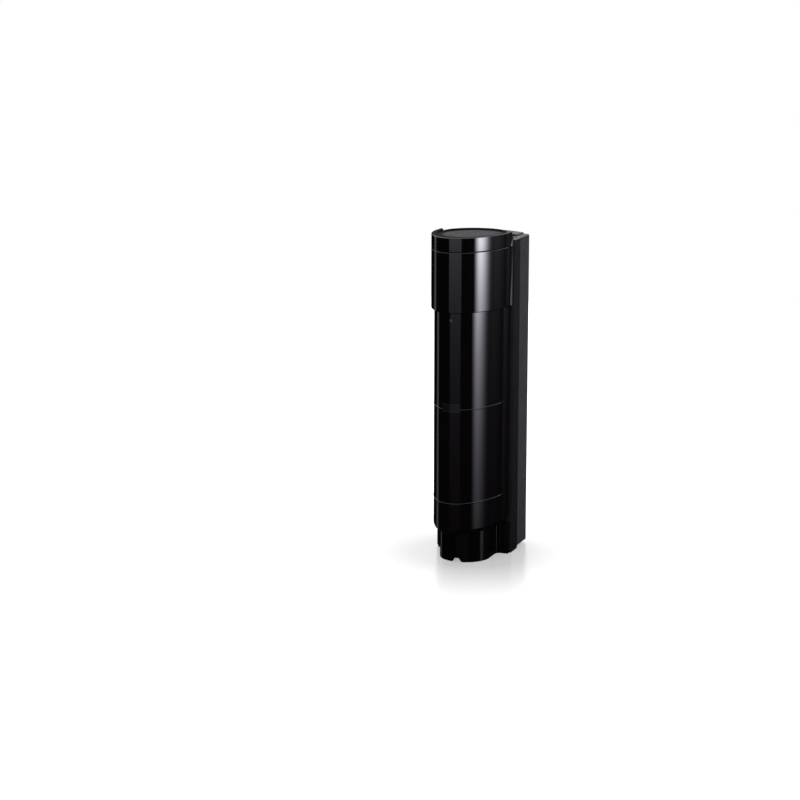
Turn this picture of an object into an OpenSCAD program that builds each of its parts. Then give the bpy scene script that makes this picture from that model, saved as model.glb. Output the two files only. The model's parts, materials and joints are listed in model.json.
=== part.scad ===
// Four-beam photoelectric detector: one tower of a transmitter and receiver set.
// X runs across the front, the front faces -Y and Z is up.
// The origin is the middle of the bottom of the whole tower's box.

/* [Body] */
// Height of the tower to the rim of the top cap
body_h = 358; // [345:1:375]
// Depth of the chassis and rear housing together
back_d = 53; // [48:1:60]
// Depth of the chassis by itself
chassis_d = 19; // [18:1:22]
// Width of the chassis
chassis_w = 88; // [86:1:94]
// Width of the rear housing
housing_w = 86; // [84:1:86]
// Height of the rim above the side edges of the chassis and rear housing
rim_over = 8.5; // [7.5:0.5:10]
// Wall of the chassis and rear housing
case_wall = 2.8; // [2.4:0.1:3.4]

/* [Hood] */
// Width of the hood
hood_w = 82; // [80:0.5:84]
// Reach of the hood's nose in front of the parting plane
hood_reach = 82; // [79:1:88]
// Radius of the hood's nose
hood_nose_r = 25; // [24:0.5:28]
// Length of the flat sides behind the curved flanks
flat_side = 12; // [10:1:15]
// Height of the hood and the cap above it together
hood_h = 80; // [70:1:88]
// Wall of the hood
hood_wall = 2.2; // [1.8:0.1:2.4]

/* [Cover] */
// Space from the outside of the hood to the outside of the cover
cover_inset = 3.4; // [3.2:0.1:4]
// Wall of the cover
cover_wall = 2.4; // [2:0.1:2.6]
// Height of the cover's lower edge
cover_low = 35; // [34:0.5:37]
// Radius of the cover's lower edge
cover_edge_r = 6; // [4:0.5:7]
// Height of the middle groove
mid_groove_z = 172.8; // [168:0.2:178]
// Height of the lower groove
low_groove_z = 69.7; // [66:0.1:74]
// Width of the grooves
groove_w = 0.9; // [0.6:0.1:1.2]
// Depth of the grooves
groove_d = 0.5; // [0.3:0.1:0.7]

/* [Top cap] */
// Height of the band below the rim of the cap
cap_h = 15.5; // [14:0.5:18]
// Radius of the rounded back of the lid
lid_r = 35.5; // [35:0.5:36.5]
// Distance of the middle of that round in front of the parting plane
lid_mid = 7; // [6:0.5:9]
// Drop of the lid's rim below the rim of the cap
lid_drop = 1.2; // [0.8:0.1:1.6]
// Width of the lid's rim
lid_rim = 2.4; // [2:0.1:3]
// Depth of the recess in the lid
lid_recess = 3; // [2.6:0.1:3.4]
// Thickness of the plate that lies in the recess
lid_plate = 1; // [0.8:0.1:1.4]

/* [Boot] */
// Width of the boot's lobe
boot_w = 56; // [52:0.5:58]
// Reach of the boot's nose in front of the parting plane
boot_reach = 57; // [52:0.5:60]
// Radius of the hollow flare beside the lobe
flare_r = 6; // [4:0.5:8]
// Wall of the boot
boot_wall = 2.4; // [2:0.1:2.6]
// Width of the notch at the foot of the nose
notch_w = 11; // [9:0.5:12]
// Height of the notch
notch_h = 4.4; // [3.6:0.2:5]

/* [Front details] */
// Width of the blank nameplate, measured across the front
badge_w = 24; // [20:0.5:27]
// Height of the blank nameplate
badge_h = 9.2; // [8:0.2:10]
// Height of the nameplate's middle
badge_z = 175.3; // [172:0.1:178]
// Thickness of the nameplate
badge_t = 0.6; // [0.4:0.1:0.8]
// Distance of the indicator lens below the hood
lamp_drop = 8; // [6:0.5:14]
// Diameter of the indicator lens
lamp_d = 3; // [2.4:0.1:3.6]

/* [Optics] */
// Diameter of the lenses
lens_d = 40; // [38:0.5:40.5]
// Distance between the two lenses of a pair
lens_pitch = 43; // [42.5:0.5:44]
// Width of the lens block
block_w = 44; // [43.5:0.5:45]
// Height of the lens block
block_h = 88; // [87:0.5:89]
// Distance of the pan axis in front of the parting plane
pan_reach = 22; // [20:0.5:24]
// Distance of the upper pair's middle below the rim
upper_drop = 73; // [72:0.5:74]
// Height of the lower pair's middle
lower_z = 137; // [136:0.5:138]
// Diameter of the pan pivots
pan_pin_d = 10; // [8:0.5:12]
// Diameter of the tilt trunnions
tilt_pin_d = 5; // [4:0.2:6]

/* [Fasteners] */
// Diameter of the case screws
screw_d = 4; // [3.5:0.1:4.5]
// Length of a wall-mounting slot between the middles of its ends
slot_travel = 6; // [4:0.5:8]
// Diameter of a wall screw's passage
slot_d = 5; // [4.5:0.1:6]
// Distance between the slots across
slot_across = 50; // [46:1:54]
// Distance between the slots up and down
slot_up = 240; // [220:1:250]
// Diameter of the cable opening in the mounting plate
wire_hole_d = 24; // [20:1:28]

/* [Hidden] */

// Facets of round shapes on screen
$fn = 72;
// Overrun of every cut
cut = 1;
// Gap between pieces of different bodies that only come near
gap = 0.3;
// Radial running clearance of a pin in its bore
run = 0.05;

// Places that follow from the driving sizes
front_gap = 0.5;
lid_lift = 0.5;
cover_drop = 1.5;
chassis_h = body_h - rim_over;
hood_low = body_h - hood_h;
lamp_z = hood_low - lamp_drop;
upper_z = body_h - upper_drop;
body_d = hood_reach + back_d;
y_part = hood_reach - body_d / 2;
hood_a = hood_w / 2;
cap_low = body_h - cap_h;
lid_low = chassis_h + lid_lift;
lid_top = body_h - lid_drop;
cover_top = chassis_h - cover_drop;
cover_a = hood_a - cover_inset;
cover_in_a = cover_a - cover_wall;
lid_inset = hood_a - lid_r;

black = "#0c0c0f";
graphite = "#3b3c40";
steel = "#b9bcc0";

// Puts a piece that is drawn about the parting plane in its place
module seated() translate([0, y_part, 0]) children();

// Radius of the flanks that join the flat sides to the nose
function flank_r(a, reach, nose) =
    (a * a + pow(reach - nose - flat_side, 2) - nose * nose) / (2 * (a - nose));

// Outline of the hood and everything that lies inside it, a given inset from the hood
module hood_line(inset = 0, back = 0, fine = 200) {
    big = flank_r(hood_a, hood_reach, hood_nose_r);
    run_y = hood_reach - hood_nose_r - flat_side;
    a = hood_a - inset;
    meet = flat_side + run_y * (big - inset) / (big - hood_nose_r);
    translate([0, -(hood_reach - hood_nose_r)]) circle(hood_nose_r - inset);
    intersection() {
        translate([hood_a - big, -flat_side]) circle(big - inset, $fn = fine);
        translate([big - hood_a, -flat_side]) circle(big - inset, $fn = fine);
        translate([-a, -meet]) square([2 * a, meet - flat_side]);
    }
    translate([-a, -flat_side]) square([2 * a, flat_side + back]);
}

// A slab of the hood's outline
module hood_slab(low, high, inset = 0, back = 0) {
    translate([0, 0, low]) linear_extrude(high - low) hood_line(inset, back);
}

// A box from its least corner to its greatest
module span(a, b) translate(a) cube(b - a);

// A rod along Y, from its front end backwards
module rod_y(r, length) rotate([-90, 0, 0]) cylinder(r = r, h = length);

// Rear housing and what fixes it

// Named sizes of the screw pillars
pillar_r = 5;
pillar_x = 28.5;
pillar_z_low = 76;
pillar_drop = 24.5;
pillar_z_high = chassis_h - pillar_drop;
rib_t = 3;
pilot_r = 1.6;
plate_t = 2.5;
plate_play = 0.2;
crown_r = 330;
crown_rise = 3.5;
crown_w = 73;
crown_clear = 1.5;
housing_low = 2;
edge_r = 2;
wall_seal_w = 2;
wall_seal_t = 0.8;

module pillar_places() {
    for (x = [-pillar_x, pillar_x], z = [pillar_z_low, pillar_z_high])
        translate([x, 0, z]) children();
}

// Slots for the wall screws, drawn about the plate's middle
module slot_shape() {
    for (s = [-1, 1]) translate([s * slot_travel / 2, 0]) circle(d = slot_d);
    square([slot_travel, slot_d], center = true);
}

module mounting_plate() {
    half_w = housing_w / 2 - case_wall - plate_play;
    low = housing_low + case_wall + plate_play;
    high = chassis_h - case_wall - plate_play;
    seat = plate_t - countersink_h;
    color(steel) seated() difference() {
        case_block(half_w, low, high, edge_r, back_d - plate_t, back_d);
        for (x = [-1, 1], z = [-1, 1])
            translate([x * slot_across / 2, back_d + cut, chassis_h / 2 + z * slot_up / 2])
                rotate([90, 0, 0]) linear_extrude(plate_t + 2 * cut) slot_shape();
        translate([0, back_d - plate_t - cut, chassis_h / 2]) rod_y(wire_hole_d / 2, plate_t + 2 * cut);
        pillar_places() translate([0, back_d - plate_t - cut, 0])
            rod_y(screw_d / 2 + play, plate_t + 2 * cut);
        pillar_places() translate([0, back_d - countersink_h, 0]) rotate([-90, 0, 0])
            cylinder(r1 = screw_d / 2 + play, r2 = countersink_r + play, h = countersink_h);
    }
}

// Named sizes of the countersunk screws
play = 0.2;
countersink_r = 3.6;
countersink_h = 1.8;
plate_screw_l = 12;

module plate_screws() {
    color(steel) seated() pillar_places() {
        translate([0, back_d - countersink_h, 0]) rotate([-90, 0, 0])
            cylinder(r1 = screw_d / 2, r2 = countersink_r, h = countersink_h);
        translate([0, back_d - plate_screw_l, 0]) rod_y(pilot_r, plate_screw_l - countersink_h);
        translate([0, back_d - plate_t, 0]) rod_y(screw_d / 2, plate_t - countersink_h);
    }
}

module wall_seal() {
    mid_x = housing_w / 2 - case_wall / 2;
    low = housing_low + case_wall / 2;
    high = chassis_h - case_wall / 2;
    half = wall_seal_w / 2;
    color("#26262a") seated() difference() {
        span([-mid_x - half, back_d - wall_seal_t, low - half], [mid_x + half, back_d, high + half]);
        span([-mid_x + half, back_d - wall_seal_t - cut, low + half],
            [mid_x - half, back_d + cut, high - half]);
    }
}

// Front outline of a case piece, with rounded corners
module case_face(half_w, low, high, r) {
    for (x = [-half_w + r, half_w - r], z = [low + r, high - r]) translate([x, z]) circle(r);
    translate([-half_w + r, low]) square([2 * (half_w - r), high - low]);
    translate([-half_w, low + r]) square([2 * half_w, high - low - 2 * r]);
}

// A case piece that runs back from y0 to y1
module case_block(half_w, low, high, r, y0, y1) {
    translate([0, y1, 0]) rotate([90, 0, 0]) linear_extrude(y1 - y0) case_face(half_w, low, high, r);
}

// Rear housing: its side walls and its top, with a crown behind the lid
module rear_housing() {
    half_w = housing_w / 2;
    crown_top = chassis_h + crown_rise;
    crown_front = lid_r - lid_mid + crown_clear;
    color(graphite) seated() difference() {
        union() {
            case_block(half_w, housing_low, chassis_h, edge_r, chassis_d, back_d);
            intersection() {
                span([-crown_w / 2, crown_front, chassis_h - edge_r], [crown_w / 2, back_d, crown_top + cut]);
                translate([0, crown_front, crown_top - crown_r]) rotate([-90, 0, 0])
                    cylinder(r = crown_r, h = back_d - crown_front, $fn = 400);
            }
        }
        difference() {
            case_block(half_w - case_wall, housing_low - case_wall, chassis_h - case_wall, edge_r,
                chassis_d - cut, back_d + cut);
            pillars();
        }
        pillar_places() translate([0, chassis_d - cut, 0]) rod_y(pilot_r, back_d - chassis_d + cut);
        span([-half_w - cut, chassis_d - cut, housing_low - cut],
            [half_w + cut, back_d + cut, housing_low + case_wall]);
        seal_channel();
    }
}

// Foot of the rear housing, which the cable comes in through
module housing_foot() {
    half_w = housing_w / 2;
    color(graphite) seated() difference() {
        intersection() {
            case_block(half_w, housing_low, chassis_h, edge_r, chassis_d, back_d);
            span([-half_w, chassis_d, housing_low], [half_w, back_d, housing_low + case_wall]);
        }
        translate([0, grommet_y, housing_low - cut]) cylinder(r = grommet_r, h = case_wall + 2 * cut);
        seal_channel();
    }
}

// Screw pillars, each with a rib to the nearer side wall
module pillars() {
    length = back_d - plate_t - chassis_d;
    pillar_places() translate([0, chassis_d, 0]) rod_y(pillar_r, length);
    for (s = [-1, 1], z = [pillar_z_low, pillar_z_high])
        span([min(s * pillar_x, s * housing_w / 2), chassis_d, z - rib_t / 2],
            [max(s * pillar_x, s * housing_w / 2), chassis_d + length, z + rib_t / 2]);
}

// Channel that holds the wall seal in the rim of the rear housing
module seal_channel() {
    mid_x = housing_w / 2 - case_wall / 2;
    low = housing_low + case_wall / 2;
    high = chassis_h - case_wall / 2;
    half = wall_seal_w / 2;
    difference() {
        span([-mid_x - half, back_d - wall_seal_t, low - half], [mid_x + half, back_d + cut, high + half]);
        span([-mid_x + half, back_d - wall_seal_t - cut, low + half],
            [mid_x - half, back_d + 2 * cut, high - half]);
    }
}

// Cable grommet in the bottom of the rear housing
grommet_r = 7;
grommet_back = 17;
grommet_y = chassis_d + grommet_back;
grommet_lip = 2;
grommet_lip_t = 1.2;
grommet_bore_r = 4;

module cable_grommet() {
    low = housing_low;
    color("#1b1b1d") seated() translate([0, grommet_y, 0]) difference() {
        union() {
            translate([0, 0, low]) cylinder(r = grommet_r, h = case_wall);
            translate([0, 0, low - grommet_lip_t]) cylinder(r = grommet_r + grommet_lip, h = grommet_lip_t);
            translate([0, 0, low + case_wall]) cylinder(r = grommet_r + grommet_lip, h = grommet_lip_t);
        }
        translate([0, 0, low - grommet_lip_t - cut])
            cylinder(r = grommet_bore_r, h = case_wall + 2 * grommet_lip_t + 2 * cut);
    }
}

// Chassis: a tray that carries the optics and closes against the cover
flange_t = 3.2;
gasket_w = 2.2;
gasket_t = 2;
gasket_proud = 0.2;
lip_w = 1.4;
lip_h = 4;
lip_play = 0.5;
lip_r = cover_edge_r - cover_wall - lip_play;
screw_boss_r = 6;
screw_axis_z = 17;
wire_pass_r = 9;
tray_back = chassis_d - case_wall;
tray_w = cover_in_a - lip_play - lip_w;
tray_low = cover_low + cover_wall + lip_play + lip_w;
tray_high = cover_top - cover_wall - lip_play - lip_w;
board_z = (upper_z + lower_z) / 2;

module chassis() {
    half_w = chassis_w / 2;
    color("#232327") seated() difference() {
        union() {
            case_block(half_w, 0, chassis_h, edge_r, 0, chassis_d);
            case_block(tray_w + lip_w, tray_low - lip_w, tray_high + lip_w, lip_r, -lip_h, 0);
        }
        case_block(tray_w, tray_low, tray_high, lip_r - lip_w, -lip_h - cut, tray_back);
        difference() {
            case_block(half_w - case_wall, case_wall, chassis_h - case_wall, edge_r,
                flange_t, chassis_d + cut);
            case_block(tray_w + case_wall, tray_low - case_wall, tray_high + case_wall, edge_r,
                0, chassis_d + 2 * cut);
            translate([0, 0, screw_axis_z]) rod_y(screw_boss_r, tray_back);
        }
        gasket_ring(cut, gasket_t);
        pillar_places() translate([0, tray_back - cut, 0]) rod_y(screw_d / 2 + play, case_wall + 2 * cut);
        translate([0, -cut, screw_axis_z]) rod_y(cover_screw_r + run, chassis_d + 2 * cut);
        translate([0, tray_back - cut, board_z]) rod_y(wire_pass_r, case_wall + 2 * cut);
        for (z = [upper_z, lower_z]) frame_screw_places(z)
            translate([0, tray_back - cut, 0]) rod_y(pilot_r, case_wall + 2 * cut);
        post_places() translate([0, tray_back - cut, 0]) rod_y(post_peg_r, case_wall + 2 * cut);
        block_peg_places() translate([0, tray_back - cut, 0]) rod_y(block_peg_r, case_wall + 2 * cut);
    }
}

// Ring that the gasket fills, from a given reach in front of the parting plane
module gasket_ring(proud, depth) {
    mid_w = cover_a - cover_wall / 2;
    low = cover_low + cover_wall / 2;
    high = cover_top - cover_wall / 2;
    half = gasket_w / 2;
    r = cover_edge_r - cover_wall / 2;
    difference() {
        case_block(mid_w + half, low - half, high + half, r + half, -proud, depth);
        case_block(mid_w - half, low + half, high - half, r - half, -proud - cut, depth + cut);
    }
}

module cover_gasket() {
    color("#19191b") seated() gasket_ring(gasket_proud, gasket_t);
}

chassis_screw_l = 12;
chassis_head_r = 3.6;
chassis_head_h = 2.4;
drive_w = 1;
drive_l = 4.6;
drive_d = 1.2;

// Pan-head screw along +Y with a cross recess, its head's seat at the origin
module pan_screw(head_r, head_h, r, length, slot_l = drive_l) {
    difference() {
        union() {
            translate([0, -head_h, 0]) rod_y(head_r, head_h);
            rod_y(r, length);
        }
        for (a = [0, 90]) rotate([0, a, 0])
            span([-slot_l / 2, -head_h - cut, -drive_w / 2], [slot_l / 2, -head_h + drive_d, drive_w / 2]);
    }
}

module chassis_screws() {
    color(steel) seated() pillar_places() translate([0, tray_back, 0])
        pan_screw(chassis_head_r, chassis_head_h, pilot_r, chassis_screw_l);
}

// Cover, hood, cap and boot, which come off together

// Rounded lower end of a shell that follows the hood's outline
module rounded_foot(low, r, inset, back) {
    steps = 6;
    coarse = 96;
    hull() for (i = [0:steps]) {
        a = 90 * i / steps;
        translate([0, 0, low + r * (1 - cos(a))]) linear_extrude(sliver)
            hood_line(inset + r * (1 - sin(a)), back, coarse, $fn = 32);
    }
}
// Least thickness of a slice in a rounded edge, and least overlap of two cuts
sliver = 0.01;

// A ring cut into the outside of the cover at a given height
module cover_groove(z) {
    difference() {
        hood_slab(z - groove_w / 2, z + groove_w / 2, cover_inset - cut);
        hood_slab(z - groove_w, z + groove_w, cover_inset + groove_d, cut);
    }
}

module front_cover() {
    in_r = cover_edge_r - cover_wall;
    in_low = cover_low + cover_wall;
    color(black) seated() difference() {
        union() {
            hood_slab(cover_low + cover_edge_r, cover_top, cover_inset, -front_gap);
            rounded_foot(cover_low, cover_edge_r, cover_inset, -front_gap);
        }
        hood_slab(in_low + in_r, cover_top - cover_wall, cover_inset + cover_wall, cut);
        rounded_foot(in_low, in_r, cover_inset + cover_wall, cut);
        for (z = [mid_groove_z, low_groove_z]) cover_groove(z);
        translate([0, cover_inset - hood_reach - cut, lamp_z]) rod_y(lamp_d / 2, cover_wall + 2 * cut);
    }
    color(black) seated() translate([0, 0, tamper_z])
        span([tamper_x - tab_half, -tab_reach - tab_t, -tab_half],
            [cover_in_a + cover_wall / 2, -tab_reach, tab_half]);
}
// Tab inside the cover that holds the tamper plunger down
tab_reach = 6.5;
tab_t = 2.4;
tab_half = 3.5;

hood_rib_h = 3;
hood_bead_w = 5.5;
hood_bead_t = 0.6;

module hood() {
    color(black) seated() {
        difference() {
            union() {
                hood_slab(hood_low, cap_low, 0, -front_gap);
                for (s = [-1, 1]) translate([0, 0, hood_low]) linear_extrude(cap_low - hood_low)
                    translate([s * hood_a, -front_gap - hood_bead_w / 2])
                        square([2 * hood_bead_t, hood_bead_w], center = true);
            }
            hood_slab(hood_low - cut, cap_low - hood_rib_h, hood_wall, cut);
            hood_slab(cap_low - hood_rib_h - cut, cap_low + cut, cover_inset, cut);
        }
    }
}

// Part of the hood's outline in front of the middle of the lid's round back
module lid_front(inset) {
    intersection() {
        hood_line(inset);
        translate([-hood_a, -hood_reach]) square([hood_w, hood_reach - lid_mid]);
    }
}

// Outline of the lid: the hood's nose in front and a round back
module lid_line(inset = 0) {
    lid_front(lid_inset + inset);
    translate([0, -lid_mid]) circle(lid_r - inset, $fn = 120);
}

pad_inset = 3;
pad_back = 3;

module top_cap() {
    color(black) seated() {
        difference() {
            union() {
                difference() {
                    hood_slab(cap_low, body_h, 0, -front_gap);
                    hood_slab(cap_low - cut, body_h + cut, hood_wall, cut);
                }
                translate([0, 0, lid_low]) linear_extrude(body_h - lid_low) lid_front(hood_wall / 2);
                translate([0, 0, lid_low]) linear_extrude(lid_top - lid_low) lid_line();
            }
            translate([0, 0, lid_top]) linear_extrude(lid_drop + cut) lid_line();
            translate([0, 0, lid_top - lid_recess]) linear_extrude(lid_recess + cut) lid_line(lid_rim);
        }
        hood_slab(cover_top, lid_low, cover_inset + pad_inset, -pad_back);
    }
}

module cap_plate() {
    color("#38393d") seated() translate([0, 0, lid_top - lid_recess])
        linear_extrude(lid_plate) lid_line(lid_rim + play);
}

// Boot: the lobe below the cover, with a hollow flare out to the full width
web_t = 3;
web_back = 5;
web_low = 6;
flange_d = 4.5;
cover_screw_r = 2;

// Outline of the lobe, with its flares when they are wanted
module lobe_line(inset = 0, flares = true) {
    r = boot_w / 2;
    front = -front_gap - flange_d;
    translate([0, -(boot_reach - r)]) circle(r - inset);
    translate([-r + inset, -(boot_reach - r)])
        square([boot_w - 2 * inset, boot_reach - r - front_gap + (inset > 0 ? cut : 0)]);
    if (flares) {
        translate([-hood_a, front]) square([hood_w, flange_d]);
        for (s = [-1, 1]) difference() {
            translate([s > 0 ? r - cut : -r - flare_r, front - flare_r])
                square([flare_r + cut, flare_r + sliver]);
            translate([s * (r + flare_r), front - flare_r]) circle(flare_r);
        }
    }
}

module bottom_boot() {
    color(black) seated() difference() {
        linear_extrude(cover_low) lobe_line();
        difference() {
            translate([0, 0, -cut]) linear_extrude(cover_low - boot_wall + cut)
                lobe_line(boot_wall, false);
            span([-boot_w / 2, -web_back - web_t, web_low], [boot_w / 2, -web_back, cover_low]);
        }
        translate([0, -boot_reach + boot_w / 2, 0]) rotate([90, 0, 0]) linear_extrude(boot_w)
            polygon([[-notch_w / 2, -cut], [notch_w / 2, -cut], [notch_w / 2, 0],
                [notch_w * notch_top_share, notch_h], [-notch_w * notch_top_share, notch_h],
                [-notch_w / 2, 0]]);
        translate([0, -web_back - web_t - cut, screw_axis_z])
            rod_y(cover_screw_r + run, web_back + web_t + cut);
    }
}
// Half width of the notch's top, as a share of its width at the foot
notch_top_share = 0.2;

cover_head_r = 4;
cover_head_h = 3.2;
seal_t = 0.8;

module cover_screw() {
    seat = -web_back - web_t - seal_t;
    color(steel) seated() translate([0, seat, screw_axis_z])
        pan_screw(cover_head_r, cover_head_h, cover_screw_r, tray_back - seat - gap);
}

module screw_seal() {
    color("#19191b") seated() translate([0, -web_back - web_t - seal_t, screw_axis_z]) difference() {
        rod_y(cover_head_r, seal_t);
        translate([0, -cut, 0]) rod_y(cover_screw_r + run, seal_t + 2 * cut);
    }
}

module nameplate() {
    color("#141417") seated() intersection() {
        difference() {
            hood_slab(badge_z - badge_h / 2, badge_z + badge_h / 2, cover_inset - badge_t);
            hood_slab(badge_z - badge_h, badge_z + badge_h, cover_inset, cut);
        }
        span([-badge_w / 2, -hood_reach, badge_z - badge_h],
            [badge_w / 2, -hood_reach / 2, badge_z + badge_h]);
    }
}

lamp_proud = 0.4;
lamp_lip = 1;

module indicator_lens() {
    front = cover_inset - hood_reach;
    lip = lamp_d / 2 + lamp_lip;
    nose = hood_nose_r - cover_inset - cover_wall;
    seat = cover_wall + nose - sqrt(nose * nose - lip * lip);
    color("#e8e4dc") seated() translate([0, front, lamp_z]) {
        intersection() {
            translate([0, -lamp_proud, 0]) rod_y(lamp_d / 2, seat);
            translate([0, lamp_d - lamp_proud, 0]) sphere(lamp_d);
        }
        translate([0, seat - lamp_proud - sliver, 0]) rod_y(lamp_d / 2, lamp_proud + 2 * sliver);
        translate([0, seat, 0]) rod_y(lip, lamp_lip);
    }
}

// Optics: two lens pairs, each turning and tilting in a frame on the chassis

frame_t = 3;
plate_gap = 0.5;
yoke_t = 2.5;
yoke_room = 8;
cheek_gap = 0.3;
cheek_d = 14;
block_front = 16;
block_back = 14;
half_block = block_h / 2;
yoke_in = half_block + yoke_room;
yoke_out = yoke_in + yoke_t;
frame_in = yoke_out + plate_gap;
frame_w = 40;
frame_nose_r = 10;
cheek_in = block_w / 2 + cheek_gap;
cheek_out = cheek_in + yoke_t;
frame_screw_x = 12;
frame_drive_l = 3.8;
frame_head_r = 3.4;
frame_head_h = 2;
frame_screw_l = 5;

// Puts a piece that is drawn about a pair's middle on its pan axis
module on_axis(z) translate([0, y_part - pan_reach, z]) children();

module frame_screw_places(z) {
    for (x = [-frame_screw_x, frame_screw_x], dz = [-half_block / 2, half_block / 2])
        translate([x, 0, z + dz]) children();
}

// C-shaped frame with a bored shelf above and below the pair
module pair_frame(z) {
    back = pan_reach + tray_back;
    color("#8d9095") on_axis(z) difference() {
        union() {
            span([-frame_w / 2, back - frame_t, -frame_in - frame_t],
                [frame_w / 2, back, frame_in + frame_t]);
            for (s = [-1, 1]) translate([0, 0, s > 0 ? frame_in : -frame_in - frame_t])
                linear_extrude(frame_t) {
                    circle(frame_nose_r);
                    translate([-frame_nose_r, 0]) square([2 * frame_nose_r, back]);
                }
        }
        for (s = [-1, 1]) translate([0, 0, s > 0 ? frame_in - cut : -frame_in - frame_t - cut])
            cylinder(d = pan_pin_d + 2 * run, h = frame_t + 2 * cut);
        frame_screw_places(0) translate([0, back - frame_t - cut, 0])
            rod_y(pilot_r + play, frame_t + 2 * cut);
        translate([0, back - frame_t - cut, 0]) rod_y(frame_window_r, frame_t + 2 * cut);
    }
}
// Opening in the middle of a frame's back, for its wires
frame_window_r = 9;

module pair_frame_screws(z) {
    back = pan_reach + tray_back;
    color(steel) on_axis(z) frame_screw_places(0) translate([0, back - frame_t, 0])
        pan_screw(frame_head_r, frame_head_h, pilot_r, frame_screw_l, frame_drive_l);
}

// Tilt drive: a captive screw across the foot of the yoke, with a nut that a fork follows
drive_drop = 5.2;
drive_z = half_block + drive_drop;
drive_r = 1.8;
lug_y = 14;
lug_t = 3;
lug_wall = 1.3;
drive_collar_r = 2.7;
drive_collar_t = 1.6;
knob_r = 4.4;
knob_t = 5;
knob_teeth = 12;
knob_tooth_r = 0.5;
nut_half = 2.5;
nut_half_w = 3;
nut_pin_r = 1.2;
fork_gap = 0.3;
fork_t = 2;
fork_play = 0.25;
fork_half = 4;

module pair_yoke(z) {
    color("#55585e") on_axis(z) difference() {
        union() {
            for (s = [-1, 1]) {
                translate([0, 0, s > 0 ? yoke_in : -yoke_out]) yoke_plate();
                translate([0, 0, s > 0 ? yoke_out : -frame_in - frame_t])
                    cylinder(d = pan_pin_d, h = plate_gap + frame_t);
                span([s > 0 ? cheek_in : -cheek_out, -cheek_d / 2, -yoke_in - yoke_t / 2],
                    [s > 0 ? cheek_out : -cheek_in, cheek_d / 2, yoke_in + yoke_t / 2]);
                translate([0, s * lug_y - lug_t / 2, -drive_z]) rod_y(drive_r + lug_wall, lug_t);
                span([-drive_r - lug_wall, s * lug_y - lug_t / 2, -yoke_in - yoke_t / 2],
                    [drive_r + lug_wall, s * lug_y + lug_t / 2, -drive_z]);
            }
        }
        translate([-cheek_out - cut, 0, 0]) rotate([0, 90, 0])
            cylinder(d = tilt_pin_d + 2 * run, h = 2 * (cheek_out + cut));
        translate([0, -lug_y - lug_t, -drive_z]) rod_y(drive_r + run, 2 * (lug_y + lug_t));
    }
}

// Top or bottom plate of the yoke, long enough for the lugs of the tilt drive
module yoke_plate() {
    reach = lug_y + lug_t / 2;
    linear_extrude(yoke_t) intersection() {
        square([2 * cheek_out, 2 * reach], center = true);
        circle(cheek_out + yoke_t);
    }
}

lens_seat_d = 3;
lens_rim_t = 2.4;
lens_rise = 3;
cone_front_share = 0.46;
cone_back_r = 4;
block_skin = 2;

module lens_places() {
    for (s = [-1, 1]) translate([0, 0, s * lens_pitch / 2]) children();
}

module pair_lens_block(z) {
    color("#2b2c30") on_axis(z) {
        difference() {
            span([-block_w / 2, -block_front, -half_block], [block_w / 2, block_back, half_block]);
            lens_places() {
                translate([0, -block_front - cut, 0]) rod_y(lens_d / 2 + play, lens_seat_d + cut);
                translate([0, lens_seat_d - block_front - sliver, 0]) rotate([-90, 0, 0])
                    cylinder(r1 = lens_d * cone_front_share, r2 = cone_back_r,
                        h = block_front + block_back - lens_seat_d - block_skin + 2 * sliver);
                translate([0, block_back - block_skin - cut, 0]) rod_y(cone_back_r, block_skin + 2 * cut);
            }
        }
        for (s = [-1, 1]) translate([s > 0 ? block_w / 2 : -cheek_out, 0, 0]) rotate([0, 90, 0])
            cylinder(d = tilt_pin_d, h = cheek_out - block_w / 2);
        fork();
    }
}

// Fork under the lens block, which takes the pin of the nut
module fork() {
    slot = 2 * (nut_pin_r + fork_play);
    tip = yoke_in - fork_play;
    for (s = [-1, 1]) difference() {
        x0 = nut_half_w + fork_gap;
        span([s > 0 ? x0 : -x0 - fork_t, -fork_half, -tip],
            [s > 0 ? x0 + fork_t : -x0, fork_half, -half_block]);
        span([-x0 - fork_t - cut, -slot / 2, -tip - cut],
            [x0 + fork_t + cut, slot / 2, nut_pin_r + fork_play - drive_z]);
    }
}

module pair_lenses(z) {
    color("#7a5a78") on_axis(z) lens_places()
        translate([0, lens_seat_d - block_front, 0]) rotate([90, 0, 0]) rotate_extrude() lens_profile();
}

// Half of a lens in section, from its flat back up to its dome
module lens_profile() {
    dome_r = (lens_d * lens_d / 4 + lens_rise * lens_rise) / (2 * lens_rise);
    square([lens_d / 2, lens_rim_t]);
    intersection() {
        translate([0, lens_rim_t + lens_rise - dome_r]) circle(dome_r, $fn = 200);
        square([lens_d / 2, lens_rim_t + lens_rise]);
    }
}

can_r = 2.5;
can_l = 6;
emitter_t = 1.6;
emitter_w = 34;
emitter_margin = 6;

module pair_emitters(z) {
    half = half_block - emitter_margin;
    color("#1f5a35") on_axis(z) {
        span([-emitter_w / 2, block_back, -half], [emitter_w / 2, block_back + emitter_t, half]);
        lens_places() {
            translate([0, block_back - can_l, 0]) rod_y(can_r, can_l);
            translate([0, block_back - can_l, 0]) sphere(can_r);
        }
    }
}

sight_w = 10;
sight_h = 5.6;
sight_l = 26;
sight_wall = 1.2;
notch_sight = 1.4;

// Sighting tube on top of the lens block, open at both ends
module pair_sight(z) {
    color("#2b2c30") on_axis(z) translate([0, 0, half_block]) difference() {
        span([-sight_w / 2, -sight_l / 2, 0], [sight_w / 2, sight_l / 2, sight_h]);
        span([-sight_w / 2 + sight_wall, -sight_l / 2 - cut, sight_wall],
            [sight_w / 2 - sight_wall, sight_l / 2 + cut, sight_h - sight_wall]);
        for (y = [-sight_l / 2, sight_l / 2])
            span([-notch_sight / 2, y - notch_sight, sight_h - 2 * sight_wall],
                [notch_sight / 2, y + notch_sight, sight_h + cut]);
    }
}

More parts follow.
